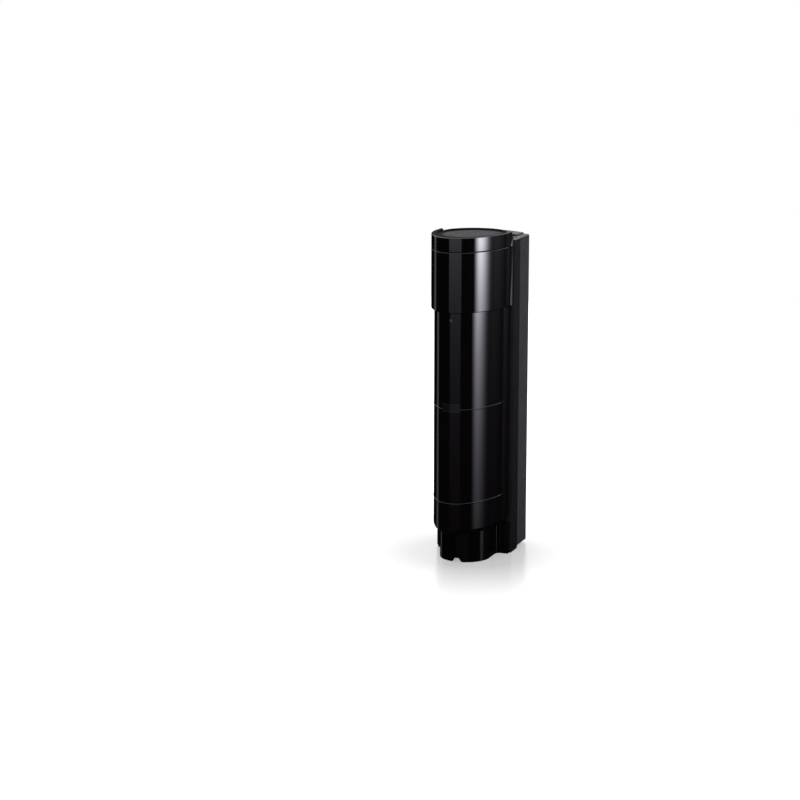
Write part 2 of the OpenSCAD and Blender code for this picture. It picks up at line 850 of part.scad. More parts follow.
// Screw of the tilt drive: shaft, fluted knob and the collar that keeps it in its lugs
module pair_tilt_screw(z) {
    front = -lug_y - lug_t / 2;
    length = 2 * (lug_y + lug_t / 2);
    color(steel) on_axis(z) translate([0, 0, -drive_z]) {
        translate([0, front - gap, 0]) rod_y(drive_r, length + 2 * gap + drive_collar_t);
        translate([0, front - gap - knob_t, 0]) difference() {
            rod_y(knob_r, knob_t);
            for (i = [0:knob_teeth - 1]) rotate([0, i * 360 / knob_teeth, 0])
                translate([knob_r, -cut, 0]) rod_y(knob_tooth_r, knob_t + 2 * cut);
            span([-knob_r * slot_share, -cut, -drive_w / 2], [knob_r * slot_share, drive_d, drive_w / 2]);
        }
        translate([0, gap - front, 0]) rod_y(drive_collar_r, drive_collar_t);
    }
}
// Half length of the knob's slot, as a share of the knob's radius
slot_share = 0.7;

module pair_tilt_nut(z) {
    color("#c9a24a") on_axis(z) translate([0, 0, -drive_z]) difference() {
        union() {
            span([-nut_half_w, -nut_half, -nut_half], [nut_half_w, nut_half, nut_half]);
            translate([-nut_half_w - fork_gap - fork_t, 0, 0]) rotate([0, 90, 0])
                cylinder(r = nut_pin_r, h = 2 * (nut_half_w + fork_gap + fork_t));
        }
        translate([0, -nut_half - cut, 0]) rod_y(drive_r + run, 2 * (nut_half + cut));
    }
}

module upper_frame() pair_frame(upper_z);
module upper_frame_screws() pair_frame_screws(upper_z);
module upper_yoke() pair_yoke(upper_z);
module upper_lens_block() pair_lens_block(upper_z);
module upper_lenses() pair_lenses(upper_z);
module upper_emitters() pair_emitters(upper_z);
module upper_sight() pair_sight(upper_z);
module upper_tilt_screw() pair_tilt_screw(upper_z);
module upper_tilt_nut() pair_tilt_nut(upper_z);
module lower_frame() pair_frame(lower_z);
module lower_frame_screws() pair_frame_screws(lower_z);
module lower_yoke() pair_yoke(lower_z);
module lower_lens_block() pair_lens_block(lower_z);
module lower_lenses() pair_lenses(lower_z);
module lower_emitters() pair_emitters(lower_z);
module lower_sight() pair_sight(lower_z);
module lower_tilt_screw() pair_tilt_screw(lower_z);
module lower_tilt_nut() pair_tilt_nut(lower_z);

// Control board between the two pairs
board_w = 62;
board_h = 28;
board_t = 1.6;
post_l = 5;
post_r = 2.4;
post_peg_r = 1.3;
post_inset = 3.2;
board_back = tray_back - post_l;
board_front = board_back - board_t;

// Puts a piece that is drawn about the board's middle on the board's front face
module on_board() translate([0, y_part + board_front, board_z]) children();

// A box on the board's front face, from its middle, its sizes and how far it stands out
module chip(x, z, w, h, d) translate([x - w / 2, -d, z - h / 2]) cube([w, d, h]);

module post_places() {
    for (x = [-board_w / 2 + post_inset, board_w / 2 - post_inset])
        for (z = [board_z - board_h / 2 + post_inset, board_z + board_h / 2 - post_inset])
            translate([x, 0, z]) children();
}

module control_board() {
    color("#1f5a35") seated() difference() {
        span([-board_w / 2, board_front, board_z - board_h / 2],
            [board_w / 2, board_back, board_z + board_h / 2]);
        post_places() translate([0, board_front - cut, 0]) rod_y(post_peg_r, board_t + 2 * cut);
    }
}

module board_posts() {
    color("#c8ccc4") seated() post_places() {
        translate([0, board_back, 0]) rod_y(post_r, post_l);
        translate([0, tray_back, 0]) rod_y(post_peg_r, case_wall);
        translate([0, board_front - post_peg_r, 0]) rod_y(post_peg_r, board_t + post_peg_r);
    }
}

chip_w = 9;
chip_h = 5;
chip_t = 1.6;
chip_places = [[-12.5, -2.7], [12.5, -9]];
can_places = [[13, 1], [20, 1]];
capacitor_r = 2.6;
capacitor_l = 7;

module board_parts() {
    color("#20242a") on_board() {
        for (p = chip_places) chip(p.x, p.y, chip_w, chip_h, chip_t);
        for (p = can_places) translate([p.x, -capacitor_l, p.y]) rod_y(capacitor_r, capacitor_l);
    }
}

relay_x = -21.5;
relay_z = 5;
relay_w = 8;
relay_h = 15;
relay_t = 10;

module alarm_relay() {
    color("#d9dadb") on_board() chip(relay_x, relay_z, relay_w, relay_h, relay_t);
}

led_x = 10.8;
led_pitch = 4.5;
led_z = 8.5;
led_r = 1.5;
led_l = 4;
led_rim = 0.3;

module status_lamps() {
    color("#c83a2e") on_board() for (i = [0:3]) translate([led_x + i * led_pitch, -led_l, led_z]) {
        rod_y(led_r, led_l);
        sphere(led_r);
        translate([0, led_l - led_rim, 0]) rod_y(led_r + led_rim, led_rim);
    }
}

dial_r = 4;
dial_l = 4;
dial_proud = 1;
dial_case_w = 11;
dial_case_t = 5;
dial_x = -10;
dial_pitch = 13;
dial_z = 6;
dial_slot_w = 1.2;
dial_slot_d = 1;

module dial_housings() {
    color("#33353a") on_board() for (i = [0, 1]) difference() {
        chip(dial_x + i * dial_pitch, dial_z, dial_case_w, dial_case_w, dial_case_t);
        translate([dial_x + i * dial_pitch, -dial_case_t - cut, dial_z])
            rod_y(dial_r + run, dial_l - dial_proud + gap + cut);
    }
}

// Dial with a pointer slot that runs from its middle to one edge
module dial(x) {
    color("#e6e2d6") on_board() translate([x, -dial_case_t - dial_proud, dial_z]) difference() {
        rod_y(dial_r, dial_l);
        span([-dial_slot_w / 2, -cut, -dial_r / 2], [dial_slot_w / 2, dial_slot_d, dial_r + cut]);
    }
}

module channel_dial() dial(dial_x);
module response_dial() dial(dial_x + dial_pitch);

dip_x = -1;
dip_z = -8.6;
dip_pitch = 2.54;
dip_w = 11;
dip_h = 8;
dip_t = 4.2;
dip_slot_w = 1.6;
dip_slot_h = 5;
dip_slot_d = 2;
dip_key_h = 2.4;
dip_key_proud = 0.8;

module dip_switch() {
    color("#b23228") on_board() difference() {
        chip(dip_x, dip_z, dip_w, dip_h, dip_t);
        for (i = [0:3]) translate([dip_key_x(i), 0, dip_z])
            span([-dip_slot_w / 2, -dip_t - cut, -dip_slot_h / 2],
                [dip_slot_w / 2, dip_slot_d - dip_t, dip_slot_h / 2]);
    }
}

function dip_key_x(i) = dip_x + (i - 1.5) * dip_pitch;

// Key of one switch, at the lower end of its slot
module dip_key(i) {
    low = dip_z - dip_slot_h / 2 + run;
    half = dip_slot_w / 2 - run;
    color("#f1efe9") on_board() translate([dip_key_x(i), 0, low])
        span([-half, -dip_t - dip_key_proud, 0], [half, dip_slot_d - dip_t - run, dip_key_h]);
}

module dip_slider_1() dip_key(0);
module dip_slider_2() dip_key(1);
module dip_slider_3() dip_key(2);
module dip_slider_4() dip_key(3);

tamper_x = 25.5;
tamper_dz = -5;
tamper_z = board_z + tamper_dz;
tamper_w = 7;
tamper_t = 7;
plunger_r = 1.8;
plunger_grip = 3;
plunger_cap_r = 2.6;
plunger_cap_t = 1.2;
plunger_room = 3.2;

module tamper_switch() {
    color("#2a2c30") on_board() difference() {
        chip(tamper_x, tamper_dz, tamper_w, tamper_w, tamper_t);
        translate([tamper_x, -tamper_t - cut, tamper_dz])
            rod_y(plunger_r + run, cut + plunger_grip + plunger_room);
    }
}

module tamper_plunger() {
    tip = -tab_reach + gap;
    color("#d8d4c8") seated() translate([tamper_x, 0, tamper_z]) {
        translate([0, tip, 0]) rod_y(plunger_r, board_front - tamper_t + plunger_grip - tip);
        translate([0, tip, 0]) rod_y(plunger_cap_r, plunger_cap_t);
    }
}

jack_x = -12;
jack_z = -8.6;
jack_w = 6;
jack_t = 8;
jack_r = 1.8;
jack_nut_r = 2.6;
jack_nut_t = 1;
jack_depth = 6;

module monitor_jack() {
    color("#17181a") on_board() difference() {
        union() {
            chip(jack_x, jack_z, jack_w, jack_w, jack_t);
            translate([jack_x, -jack_t - jack_nut_t, jack_z]) rod_y(jack_nut_r, jack_nut_t);
        }
        translate([jack_x, -jack_t - jack_nut_t - cut, jack_z]) rod_y(jack_r, jack_depth + cut);
    }
}

// Terminal block under the lower pair
ways = 9;
way_pitch = 6;
block_end = 2;
block_low = 46;
block_up = 16;
block_t = 14;
block_peg_r = 1.6;
block_peg_x = 24;
cell_half = 2.2;
cell_front = 9.2;
cell_depth = 5;
cell_up = 10;
clamp_play = 0.2;
clamp_h = 5;
clamp_t = 3.2;
well_r = 2.4;
well_d = 5;
clamp_screw_r = 1.3;
clamp_head_r = 2.2;
clamp_head_h = 2;
screw_up_share = 0.42;
clamp_drive_l = 3.4;
terminal_screw_l = cell_front + cell_depth / 2 - well_d - gap;

function way_x(i) = (i - (ways - 1) / 2) * way_pitch;

// Middle of a terminal's screw, above the block's lower face
block_screw_z = block_low + block_up * screw_up_share;

module block_peg_places() {
    for (x = [-block_peg_x, block_peg_x]) translate([x, 0, block_low + block_up / 2]) children();
}

module terminal_block() {
    front = tray_back - block_t;
    half = ways * way_pitch / 2 + block_end;
    color("#e9e6dc") seated() {
        difference() {
            span([-half, front, block_low], [half, tray_back, block_low + block_up]);
            for (i = [0:ways - 1]) translate([way_x(i), front, 0]) {
                translate([0, -cut, block_screw_z]) rod_y(well_r, well_d + cut);
                translate([0, 0, block_screw_z]) rod_y(clamp_screw_r + play, cell_front);
                span([-cell_half, cell_front - cell_depth / 2, block_low - cut],
                    [cell_half, cell_front + cell_depth / 2, block_low + cell_up]);
            }
        }
        block_peg_places() translate([0, tray_back, 0]) rod_y(block_peg_r, case_wall);
    }
}

module terminal_screws() {
    seat = tray_back - block_t + well_d;
    color(steel) seated() for (i = [0:ways - 1]) translate([way_x(i), seat, block_screw_z])
        pan_screw(clamp_head_r, clamp_head_h, clamp_screw_r, terminal_screw_l, clamp_drive_l);
}

module terminal_clamps() {
    mid = tray_back - block_t + cell_front;
    half = cell_half - clamp_play;
    color("#caa64f") seated() for (i = [0:ways - 1]) translate([way_x(i), mid, block_screw_z]) difference() {
        span([-half, -clamp_t / 2, -clamp_h / 2], [half, clamp_t / 2, clamp_h / 2]);
        translate([0, -clamp_t, 0]) rod_y(clamp_screw_r, 2 * clamp_t);
    }
}

mounting_plate();
plate_screws();
wall_seal();
rear_housing();
housing_foot();
chassis();
chassis_screws();
cover_gasket();
front_cover();
hood();
top_cap();
cap_plate();
bottom_boot();
nameplate();
indicator_lens();
cover_screw();
screw_seal();
cable_grommet();
upper_frame();
upper_frame_screws();
upper_yoke();
upper_lens_block();
upper_lenses();
upper_emitters();
upper_sight();
upper_tilt_screw();
upper_tilt_nut();
lower_frame();
lower_frame_screws();
lower_yoke();
lower_lens_block();
lower_lenses();
lower_emitters();
lower_sight();
lower_tilt_screw();
lower_tilt_nut();
control_board();
board_posts();
board_parts();
alarm_relay();
status_lamps();
channel_dial();
response_dial();
dial_housings();
dip_switch();
dip_slider_1();
dip_slider_2();
dip_slider_3();
dip_slider_4();
tamper_switch();
tamper_plunger();
monitor_jack();
terminal_block();
terminal_screws();
terminal_clamps();
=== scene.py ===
"""Shells, optics, screws and finishes of a four-beam photoelectric detector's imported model."""

import json
import math
from functools import partial

import bmesh
import bpy
from bpy.props import FloatProperty, FloatVectorProperty, IntProperty, PointerProperty
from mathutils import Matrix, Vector

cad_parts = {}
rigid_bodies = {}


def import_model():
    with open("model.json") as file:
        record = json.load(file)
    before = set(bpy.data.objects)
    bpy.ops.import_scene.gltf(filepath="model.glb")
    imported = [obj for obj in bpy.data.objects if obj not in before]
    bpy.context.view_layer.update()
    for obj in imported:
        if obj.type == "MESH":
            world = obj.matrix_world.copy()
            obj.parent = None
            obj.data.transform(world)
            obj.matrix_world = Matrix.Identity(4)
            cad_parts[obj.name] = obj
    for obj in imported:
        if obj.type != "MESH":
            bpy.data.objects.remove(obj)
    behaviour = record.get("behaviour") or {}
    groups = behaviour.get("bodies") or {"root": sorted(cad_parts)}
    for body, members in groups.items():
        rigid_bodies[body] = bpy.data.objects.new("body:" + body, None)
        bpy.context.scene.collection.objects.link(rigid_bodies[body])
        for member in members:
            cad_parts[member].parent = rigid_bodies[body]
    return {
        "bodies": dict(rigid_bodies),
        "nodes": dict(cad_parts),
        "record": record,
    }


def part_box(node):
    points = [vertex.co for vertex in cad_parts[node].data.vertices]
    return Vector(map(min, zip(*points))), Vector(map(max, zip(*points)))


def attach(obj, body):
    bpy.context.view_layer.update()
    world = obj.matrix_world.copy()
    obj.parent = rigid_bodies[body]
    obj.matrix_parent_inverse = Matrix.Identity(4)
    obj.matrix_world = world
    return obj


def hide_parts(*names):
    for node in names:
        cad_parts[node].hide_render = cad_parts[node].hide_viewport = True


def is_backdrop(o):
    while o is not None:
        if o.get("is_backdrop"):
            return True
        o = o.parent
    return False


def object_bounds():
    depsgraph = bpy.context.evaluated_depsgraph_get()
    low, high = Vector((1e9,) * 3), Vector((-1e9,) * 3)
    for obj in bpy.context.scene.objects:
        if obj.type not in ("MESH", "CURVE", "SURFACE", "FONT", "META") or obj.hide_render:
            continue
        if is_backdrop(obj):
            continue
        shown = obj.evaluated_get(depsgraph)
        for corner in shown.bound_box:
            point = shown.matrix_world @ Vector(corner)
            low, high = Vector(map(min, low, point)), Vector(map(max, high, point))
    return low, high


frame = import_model()
CAD_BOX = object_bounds()

bl_info = {
    "name": "Beam Detector Tower",
    "version": (1, 0, 0),
    "blender": (4, 5, 0),
    "location": "View3D > Sidebar > Beam Detector",
    "description": "Makes the shells, optics and finishes of a four-beam photoelectric detector",
    "category": "Add Mesh",
}

MM = 0.001

# Gap between the back of the front shells and the parting plane, which the chassis starts at
FRONT_GAP = 0.5 * MM


def least(node, axis):
    """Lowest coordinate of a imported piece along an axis."""
    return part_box(node)[0]["xyz".index(axis)]


def most(node, axis):
    """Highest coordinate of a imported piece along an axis."""
    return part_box(node)[1]["xyz".index(axis)]


PART_Y = most("front_cover", "y") + FRONT_GAP


# User settings


def size(text, default):
    """A length that a user can change."""
    return FloatProperty(
        description=text, default=default, min=0.0, precision=5, subtype="DISTANCE", unit="LENGTH"
    )


def share(text, default):
    """A value from 0 to 1 that a user can change."""
    return FloatProperty(description=text, default=default, min=0.0, max=1.0, subtype="FACTOR")


def count(text, default, low):
    """A whole number that a user can change."""
    return IntProperty(description=text, default=default, min=low)


def degrees(text, default):
    """An angle that a user can change."""
    return FloatProperty(
        description=text, default=math.radians(default), subtype="ANGLE", unit="ROTATION"
    )


def colour(text, default):
    """A colour that a user can change."""
    return FloatVectorProperty(
        description=text, default=default, min=0.0, max=1.0, size=3, subtype="COLOR"
    )


def labelled(group):
    """Gives each setting of a group a label made from its own name."""
    for key, setting in group.__annotations__.items():
        setting.keywords["name"] = key.replace("_", " ").capitalize()
    return group


@labelled
class BeamShellSizes(bpy.types.PropertyGroup):
    """Sizes of the hood, cover, cap and boot."""

    hood_width: size("Width of the hood across its flat sides", 82 * MM)
    hood_reach: size("Reach of the nose before the parting plane", PART_Y - least("hood", "y"))
    nose_radius: size("Radius of the hood's nose", 25 * MM)
    flat_side: size("Length of the flat sides behind the flanks", 12 * MM)
    hood_low: size("Height of the hood's lower edge", least("hood", "z"))
    cap_low: size("Height of the seam between hood and cap", most("hood", "z"))
    top: size("Height of the cap's rim", most("top_cap", "z"))
    hood_wall: size("Wall of the hood and the cap's band", 2.2 * MM)
    bead_width: size("Width of the beads at the hood's rear edges", 3.3 * MM)
    bead_height: size("Height of the beads over the hood's sides", 1.4 * MM)
    hood_edge: size("Radius of the hood's edges", 0.8 * MM)
    cap_edge: size("Radius of the cap's edges", 0.7 * MM)
    cap_bead_drop: size("Drop of the cap's beads below its rim", 4.4 * MM)
    lap_height: size("Height of the lap inside the hood's top", 3 * MM)
    lip_width: size("Width of the lips at the cover's rear edges", 13 * MM)
    lip_height: size("Height of the lips over the cover's sides", 2.3 * MM)
    lip_slope: size("Length of the slope in front of a lip", 5.2 * MM)
    cover_inset: size("Step from the hood in to the cover", 3.4 * MM)
    cover_wall: size("Wall of the cover", 2.4 * MM)
    cover_low: size("Height of the cover's lower edge", least("front_cover", "z"))
    cover_top: size("Height of the cover's top under the cap", most("front_cover", "z"))
    cover_edge: size("Radius of the cover's lower edge", 6 * MM)
    mid_groove: size("Height of the middle groove", 172.8 * MM)
    low_groove: size("Height of the lower groove", 69.7 * MM)
    groove_width: size("Width of the grooves", 1.2 * MM)
    groove_depth: size("Depth of the grooves", 0.7 * MM)
    groove_lip: size("Rise of the lip above a groove", 0.28 * MM)
    lid_radius: size("Radius of the lid's rounded back", 35.5 * MM)
    lid_middle: size("Distance of that round's middle in front of the parting plane", 7 * MM)
    lid_drop: size("Drop of the lid's rim below the cap's rim", 1.2 * MM)
    lid_rim: size("Width of the lid's rim", 2.4 * MM)
    lid_recess: size("Depth of the recess in the lid", 3 * MM)
    recess_reach: share("How far the recess reaches to the front, of the lid's nose", 0.8)
    lid_body: size("Depth of the lid below the rim", 8 * MM)
    boot_width: size("Width of the boot's lobe", 56 * MM)
    boot_reach: size("Reach of the boot's nose before the parting plane", 57 * MM)
    boot_flare: size("Radius of the hollow flares beside the lobe", 6 * MM)
    boot_wall: size("Wall of the boot", 2.4 * MM)
    flange_depth: size("Depth of the boot's flange", 4.5 * MM)
    notch_width: size("Width of the notch at the foot of the boot's nose", 11 * MM)
    notch_height: size("Height of the notch", 4.4 * MM)
    badge_width: size("Width of the blank nameplate", 21.5 * MM)
    badge_border: size("Width of the nameplate's border", 0.7 * MM)
    badge_height: size("Height of the blank nameplate", 9.2 * MM)
    badge_middle: size("Height of the nameplate's middle", 175.3 * MM)
    badge_thick: size("Thickness of the nameplate", 0.6 * MM)
    lamp_width: size("Diameter of the indicator lens", 3 * MM)
    edge: size("Radius of the moulded edges", 0.45 * MM)
    flank_steps: count("Facets along a flank", 40, 8)
    nose_steps: count("Facets round the nose", 56, 8)


@labelled
class BeamOptics(bpy.types.PropertyGroup):
    """Sizes of the lenses and the tilt knobs."""

    lens_width: size("Diameter of a lens", 40 * MM)
    lens_rise: size("Rise of a lens' dome", 3 * MM)
    ring_size: size("Radius of the raised rings", 0.12 * MM)
    rings: count("Raised rings on a lens", 9, 1)
    knob_width: size("Diameter of a tilt knob", 8.8 * MM)
    knob_thick: size("Thickness of a tilt knob", 5 * MM)
    flutes: count("Flutes round a knob", 18, 3)
    flute_size: size("Radius of a flute", 0.42 * MM)
    slot_width: size("Width of a knob's slot", 1.2 * MM)
    slot_depth: size("Depth of a knob's slot", 1.2 * MM)
    shaft_width: size("Diameter of a tilt screw's shaft", 3.6 * MM)
    collar_width: size("Diameter of a tilt screw's collar", 5.4 * MM)
    collar_thick: size("Thickness of that collar", 1.6 * MM)


@labelled
class BeamFinishColours(bpy.types.PropertyGroup):
    """Colours of the plastics, metals and lenses."""

    gloss_black: colour("Front cover, hood, cap and boot", (0.0016, 0.0011, 0.0014))
    charcoal: colour("Chassis", (0.006, 0.0058, 0.0068))
    graphite: colour("Rear housing", (0.03, 0.03, 0.033))
    lid_grey: colour("Plate in the lid's recess", (0.045, 0.042, 0.05))
    lens_plum: colour("Moulded lenses", (0.22, 0.12, 0.2))
    zinc: colour("Screws and frames", (0.55, 0.56, 0.57))


@labelled
class BeamStage(bpy.types.PropertyGroup):
    """Camera, floor and lights."""

    camera_place: FloatVectorProperty(
        description="Where the camera stands", default=(0.755, -2.1152, 0.6218),
        size=3, subtype="TRANSLATION", unit="LENGTH", precision=4,
    )
    camera_turn: degrees("Turn of the view to the left", 21.62)
    camera_dip: degrees("Dip of the view below the horizon", 11.32)
    focal_length: FloatProperty(description="Focal length in mm", default=94.1, min=10)
    floor_white: share("Brightness of the floor", 0.42)
    floor_glow: share("Light that shines through the floor at the tower's foot", 0.4)
    floor_gloss: share("How much the floor mirrors the tower", 0.35)
    glow_reach: FloatVectorProperty(
        description="Distances from the tower over which the floor turns white",
        default=(0.06, 0.24), size=2, unit="LENGTH", precision=3,
    )


# Meshes

# Overrun of a cutter, or of a solid into the one that it joins
OVER = MM
# Distance below which two points are one
WELD = 0.001 * MM
# Facets round a rod
ROD_STEPS = 48
# Weight of the larger faces in the shading across a rounded edge, of 100
FACE_WEIGHT = 80
# Angles in degrees: between the faces of a sharp edge on a piece made here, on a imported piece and
# on a turned one, and between two packed faces that are one flat face
MADE_ANGLE, PACKED_ANGLE, TURNED_ANGLE, FLAT_ANGLE = 38.0, 35.0, 32.0, 0.4


def mesh_object(name, mesh):
    """A new object at the origin that shows the mesh."""
    made = bpy.data.objects.new(name, mesh)
    bpy.context.scene.collection.objects.link(made)
    return made


def from_bmesh(name, bm, weld=0.0):
    """Turns a bmesh into an object with its faces pointing outwards."""
    if weld:
        bmesh.ops.remove_doubles(bm, verts=bm.verts, dist=weld)
    bmesh.ops.recalc_face_normals(bm, faces=bm.faces)
    mesh = bpy.data.meshes.new(name)
    bm.to_mesh(mesh)
    bm.free()
    return mesh_object(name, mesh)


def apply_modifiers(made):
    """Replaces an object's mesh with what its modifiers make of it."""
    graph = bpy.context.evaluated_depsgraph_get()
    mesh = bpy.data.meshes.new_from_object(made.evaluated_get(graph), depsgraph=graph)
    made.modifiers.clear()
    old = made.data
    made.data = mesh
    mesh.name = made.name
    bpy.data.meshes.remove(old)
    return made


def smooth(made, angle):
    """Smooth shading with the edges sharper than an angle kept."""
    made.data.shade_smooth()
    made.data.set_sharp_from_angle(angle=math.radians(angle))
    return made


def soft_edges(made, width, steps=2, angle=MADE_ANGLE):
    """Rounds the moulded edges of a piece and keeps the faces between them flat in shade."""
    bevel = made.modifiers.new("edges", "BEVEL")
    bevel.width = width
    bevel.segments = steps
    bevel.limit_method = "ANGLE"
    bevel.angle_limit = math.radians(angle)
    bevel.use_clamp_overlap = True
    bevel.miter_outer = "MITER_ARC"
    smooth(apply_modifiers(made), angle)
    even = made.modifiers.new("even", "WEIGHTED_NORMAL")
    even.mode = "FACE_AREA"
    even.weight = FACE_WEIGHT
    even.keep_sharp = True
    return apply_modifiers(made)


def combine(made, others, kind):
    """Joins other solids to a piece or cuts them from it."""
    for other in others:
        step = made.modifiers.new("combine", "BOOLEAN")
        step.operation = kind
        step.object = other
        step.solver = "EXACT"
    apply_modifiers(made)
    for other in others:
        mesh = other.data
        bpy.data.objects.remove(other)
        bpy.data.meshes.remove(mesh)
    return made


def solid_between(name, *rings):
    """A closed solid between two rings of as many points."""
    bm = bmesh.new()
    first, last = ([bm.verts.new(point) for point in ring] for ring in rings)
    for i in range(len(first)):
        j = (i + 1) % len(first)
        bm.faces.new((first[i], first[j], last[j], last[i]))
    bm.faces.new(first)
    bm.faces.new(last)
    return from_bmesh(name, bm)


def prism(name, plan, low, high):
    """A solid with an upright wall on each side of a plan, with y from the parting plane."""
    return solid_between(name, *([(x, PART_Y + y, z) for x, y in plan] for z in (low, high)))


def level_prism(name, section, front, back):
    """A solid along Y with a section in X and Z, with its ends given from the parting plane."""
    return solid_between(name, *([(x, PART_Y + y, z) for x, z in section] for y in (front, back)))


def rod(name, middle, radius, front, back):
    """A rod along Y round a middle in X and Z."""
    return level_prism(name, arc(middle, radius, 0.0, 2 * math.pi, ROD_STEPS)[:-1], front, back)


def arc(centre, radius, start, end, steps):
    """Points on an arc, both ends included, with angles from +X."""
    turn = [start + (end - start) * i / steps for i in range(steps + 1)]
    return [(centre[0] + radius * math.cos(t), centre[1] + radius * math.sin(t)) for t in turn]


def hood_plan(s, inset=0.0, back=FRONT_GAP):
    """Plan of the hood less an inset, from its right rear corner round the nose to the left one."""
    half = s.hood_width / 2
    run = s.hood_reach - s.nose_radius - s.flat_side
    flank = (half * half + run * run - s.nose_radius ** 2) / (2 * (half - s.nose_radius))
    turn = math.atan2(run, flank - half)
    right = [(half - inset, -back)]
    right += arc((half - flank, -s.flat_side), flank - inset, 0.0, -turn, s.flank_steps)
    middle = (0.0, s.nose_radius - s.hood_reach)
    nose = arc(middle, s.nose_radius - inset, -turn, turn - math.pi, s.nose_steps)
    left = [(-x, y) for x, y in reversed(right)]
    return right[:-1] + nose + left[1:]


def lid_plan(s, inset=0.0, reach=1.0):
    """Plan of the lid: the hood's nose in front, with a share of its reach, and a round back."""
    drawn_in = s.hood_width / 2 - s.lid_radius + inset
    full = [p for p in hood_plan(s, drawn_in) if p[1] < -s.lid_middle - s.edge]
    front = [(x, -s.lid_middle + reach * (y + s.lid_middle)) for x, y in full]
    back = arc((0.0, -s.lid_middle), s.lid_radius - inset, math.pi, 0.0, s.nose_steps)
    return front + back


def rear_strips(name, side, root, height, crest, front, low, high):
    """Strips along both rear edges: raised from the rear to a crest, then sloping to the front."""
    section = [(side - root, -FRONT_GAP), (side + height, -FRONT_GAP), (side + height, crest),
               (side, front), (side - root, front)]
    return [prism(name, [(sign * x, y) for x, y in section], low, high) for sign in (-1, 1)]


def rear_beads(s, low, high):
    """Beads along both rear edges of the hood's plan."""
    return rear_strips("bead", s.hood_width / 2, OVER, s.bead_height, -2 * FRONT_GAP,
                       -FRONT_GAP - s.bead_width, low, high)


def shell_rings(bm, s, rings):
    """Upright wall through rings of height and inset, open at the rear."""
    made = []
    for height, inset in rings:
        made.append([bm.verts.new((x, PART_Y + y, height)) for x, y in hood_plan(s, inset)])
    for a, b in zip(made, made[1:]):
        for i in range(len(a) - 1):
            bm.faces.new((a[i], a[i + 1], b[i + 1], b[i]))
    return made


def close_across(bm, ring):
    """Closes a ring with strips from its right side to its left one."""
    last = len(ring) - 1
    for i in range(last // 2):
        corners = [ring[i], ring[i + 1], ring[last - i - 1], ring[last - i]]
        bm.faces.new(dict.fromkeys(corners))


def swept_band(name, s, section):
    """A band with one section all round the plan, given as heights and insets."""
    bm = bmesh.new()
    rings = shell_rings(bm, s, section + section[:1])
    bm.faces.new([ring[0] for ring in rings[:-1]])
    bm.faces.new([ring[-1] for ring in rings[:-1]])
    return from_bmesh(name, bm, WELD)


# Nodes


def feed(node, feeds):
    """Links or sets a node's inputs by identifier or name; a list feeds one input several times."""
    sockets = {socket.identifier: socket for socket in node.inputs}
    for key, values in feeds.items():
        socket = sockets[key] if key in sockets else node.inputs[key]
        for value in values if isinstance(values, list) else [values]:
            if isinstance(value, bpy.types.NodeSocket):
                node.id_data.links.new(value, socket)
            else:
                socket.default_value = value


def add_node(tree, kind, feeds, output=0, **settings):
    """Adds a node, feeds its inputs and returns one of its outputs."""
    made = tree.nodes.new(kind)
    for key, value in settings.items():
        setattr(made, key, value)
    feed(made, feeds)
    return made.outputs[output]


def math_node(tree, operation, first, second=None):
    """A math node's result; an input is a socket or a number."""
    feeds = {"Value": first} if second is None else {"Value": first, "Value_001": second}
    return add_node(tree, "ShaderNodeMath", feeds, operation=operation)


# Recipes: geometry node trees for what repeats or follows a plan

# Radius of the circle that a profile is turned on, which stands for a point
TURNING_POINT = 0.001 * MM
# Distance below which the points of a turned profile on its axis are one
AXIS_WELD = 0.005 * MM
# Place of the lap in the hood, as a share of the lap's wall inwards of the hood's wall
LAP_SEAT = 0.45
LAP_EDGE = 0.05 * MM
FLUTE_FACETS = 12
RING_FACETS = 6
# Facets round a turned part, where a part has no number of its own
TURNED_FACETS = 40
SPIN_SEED = 7


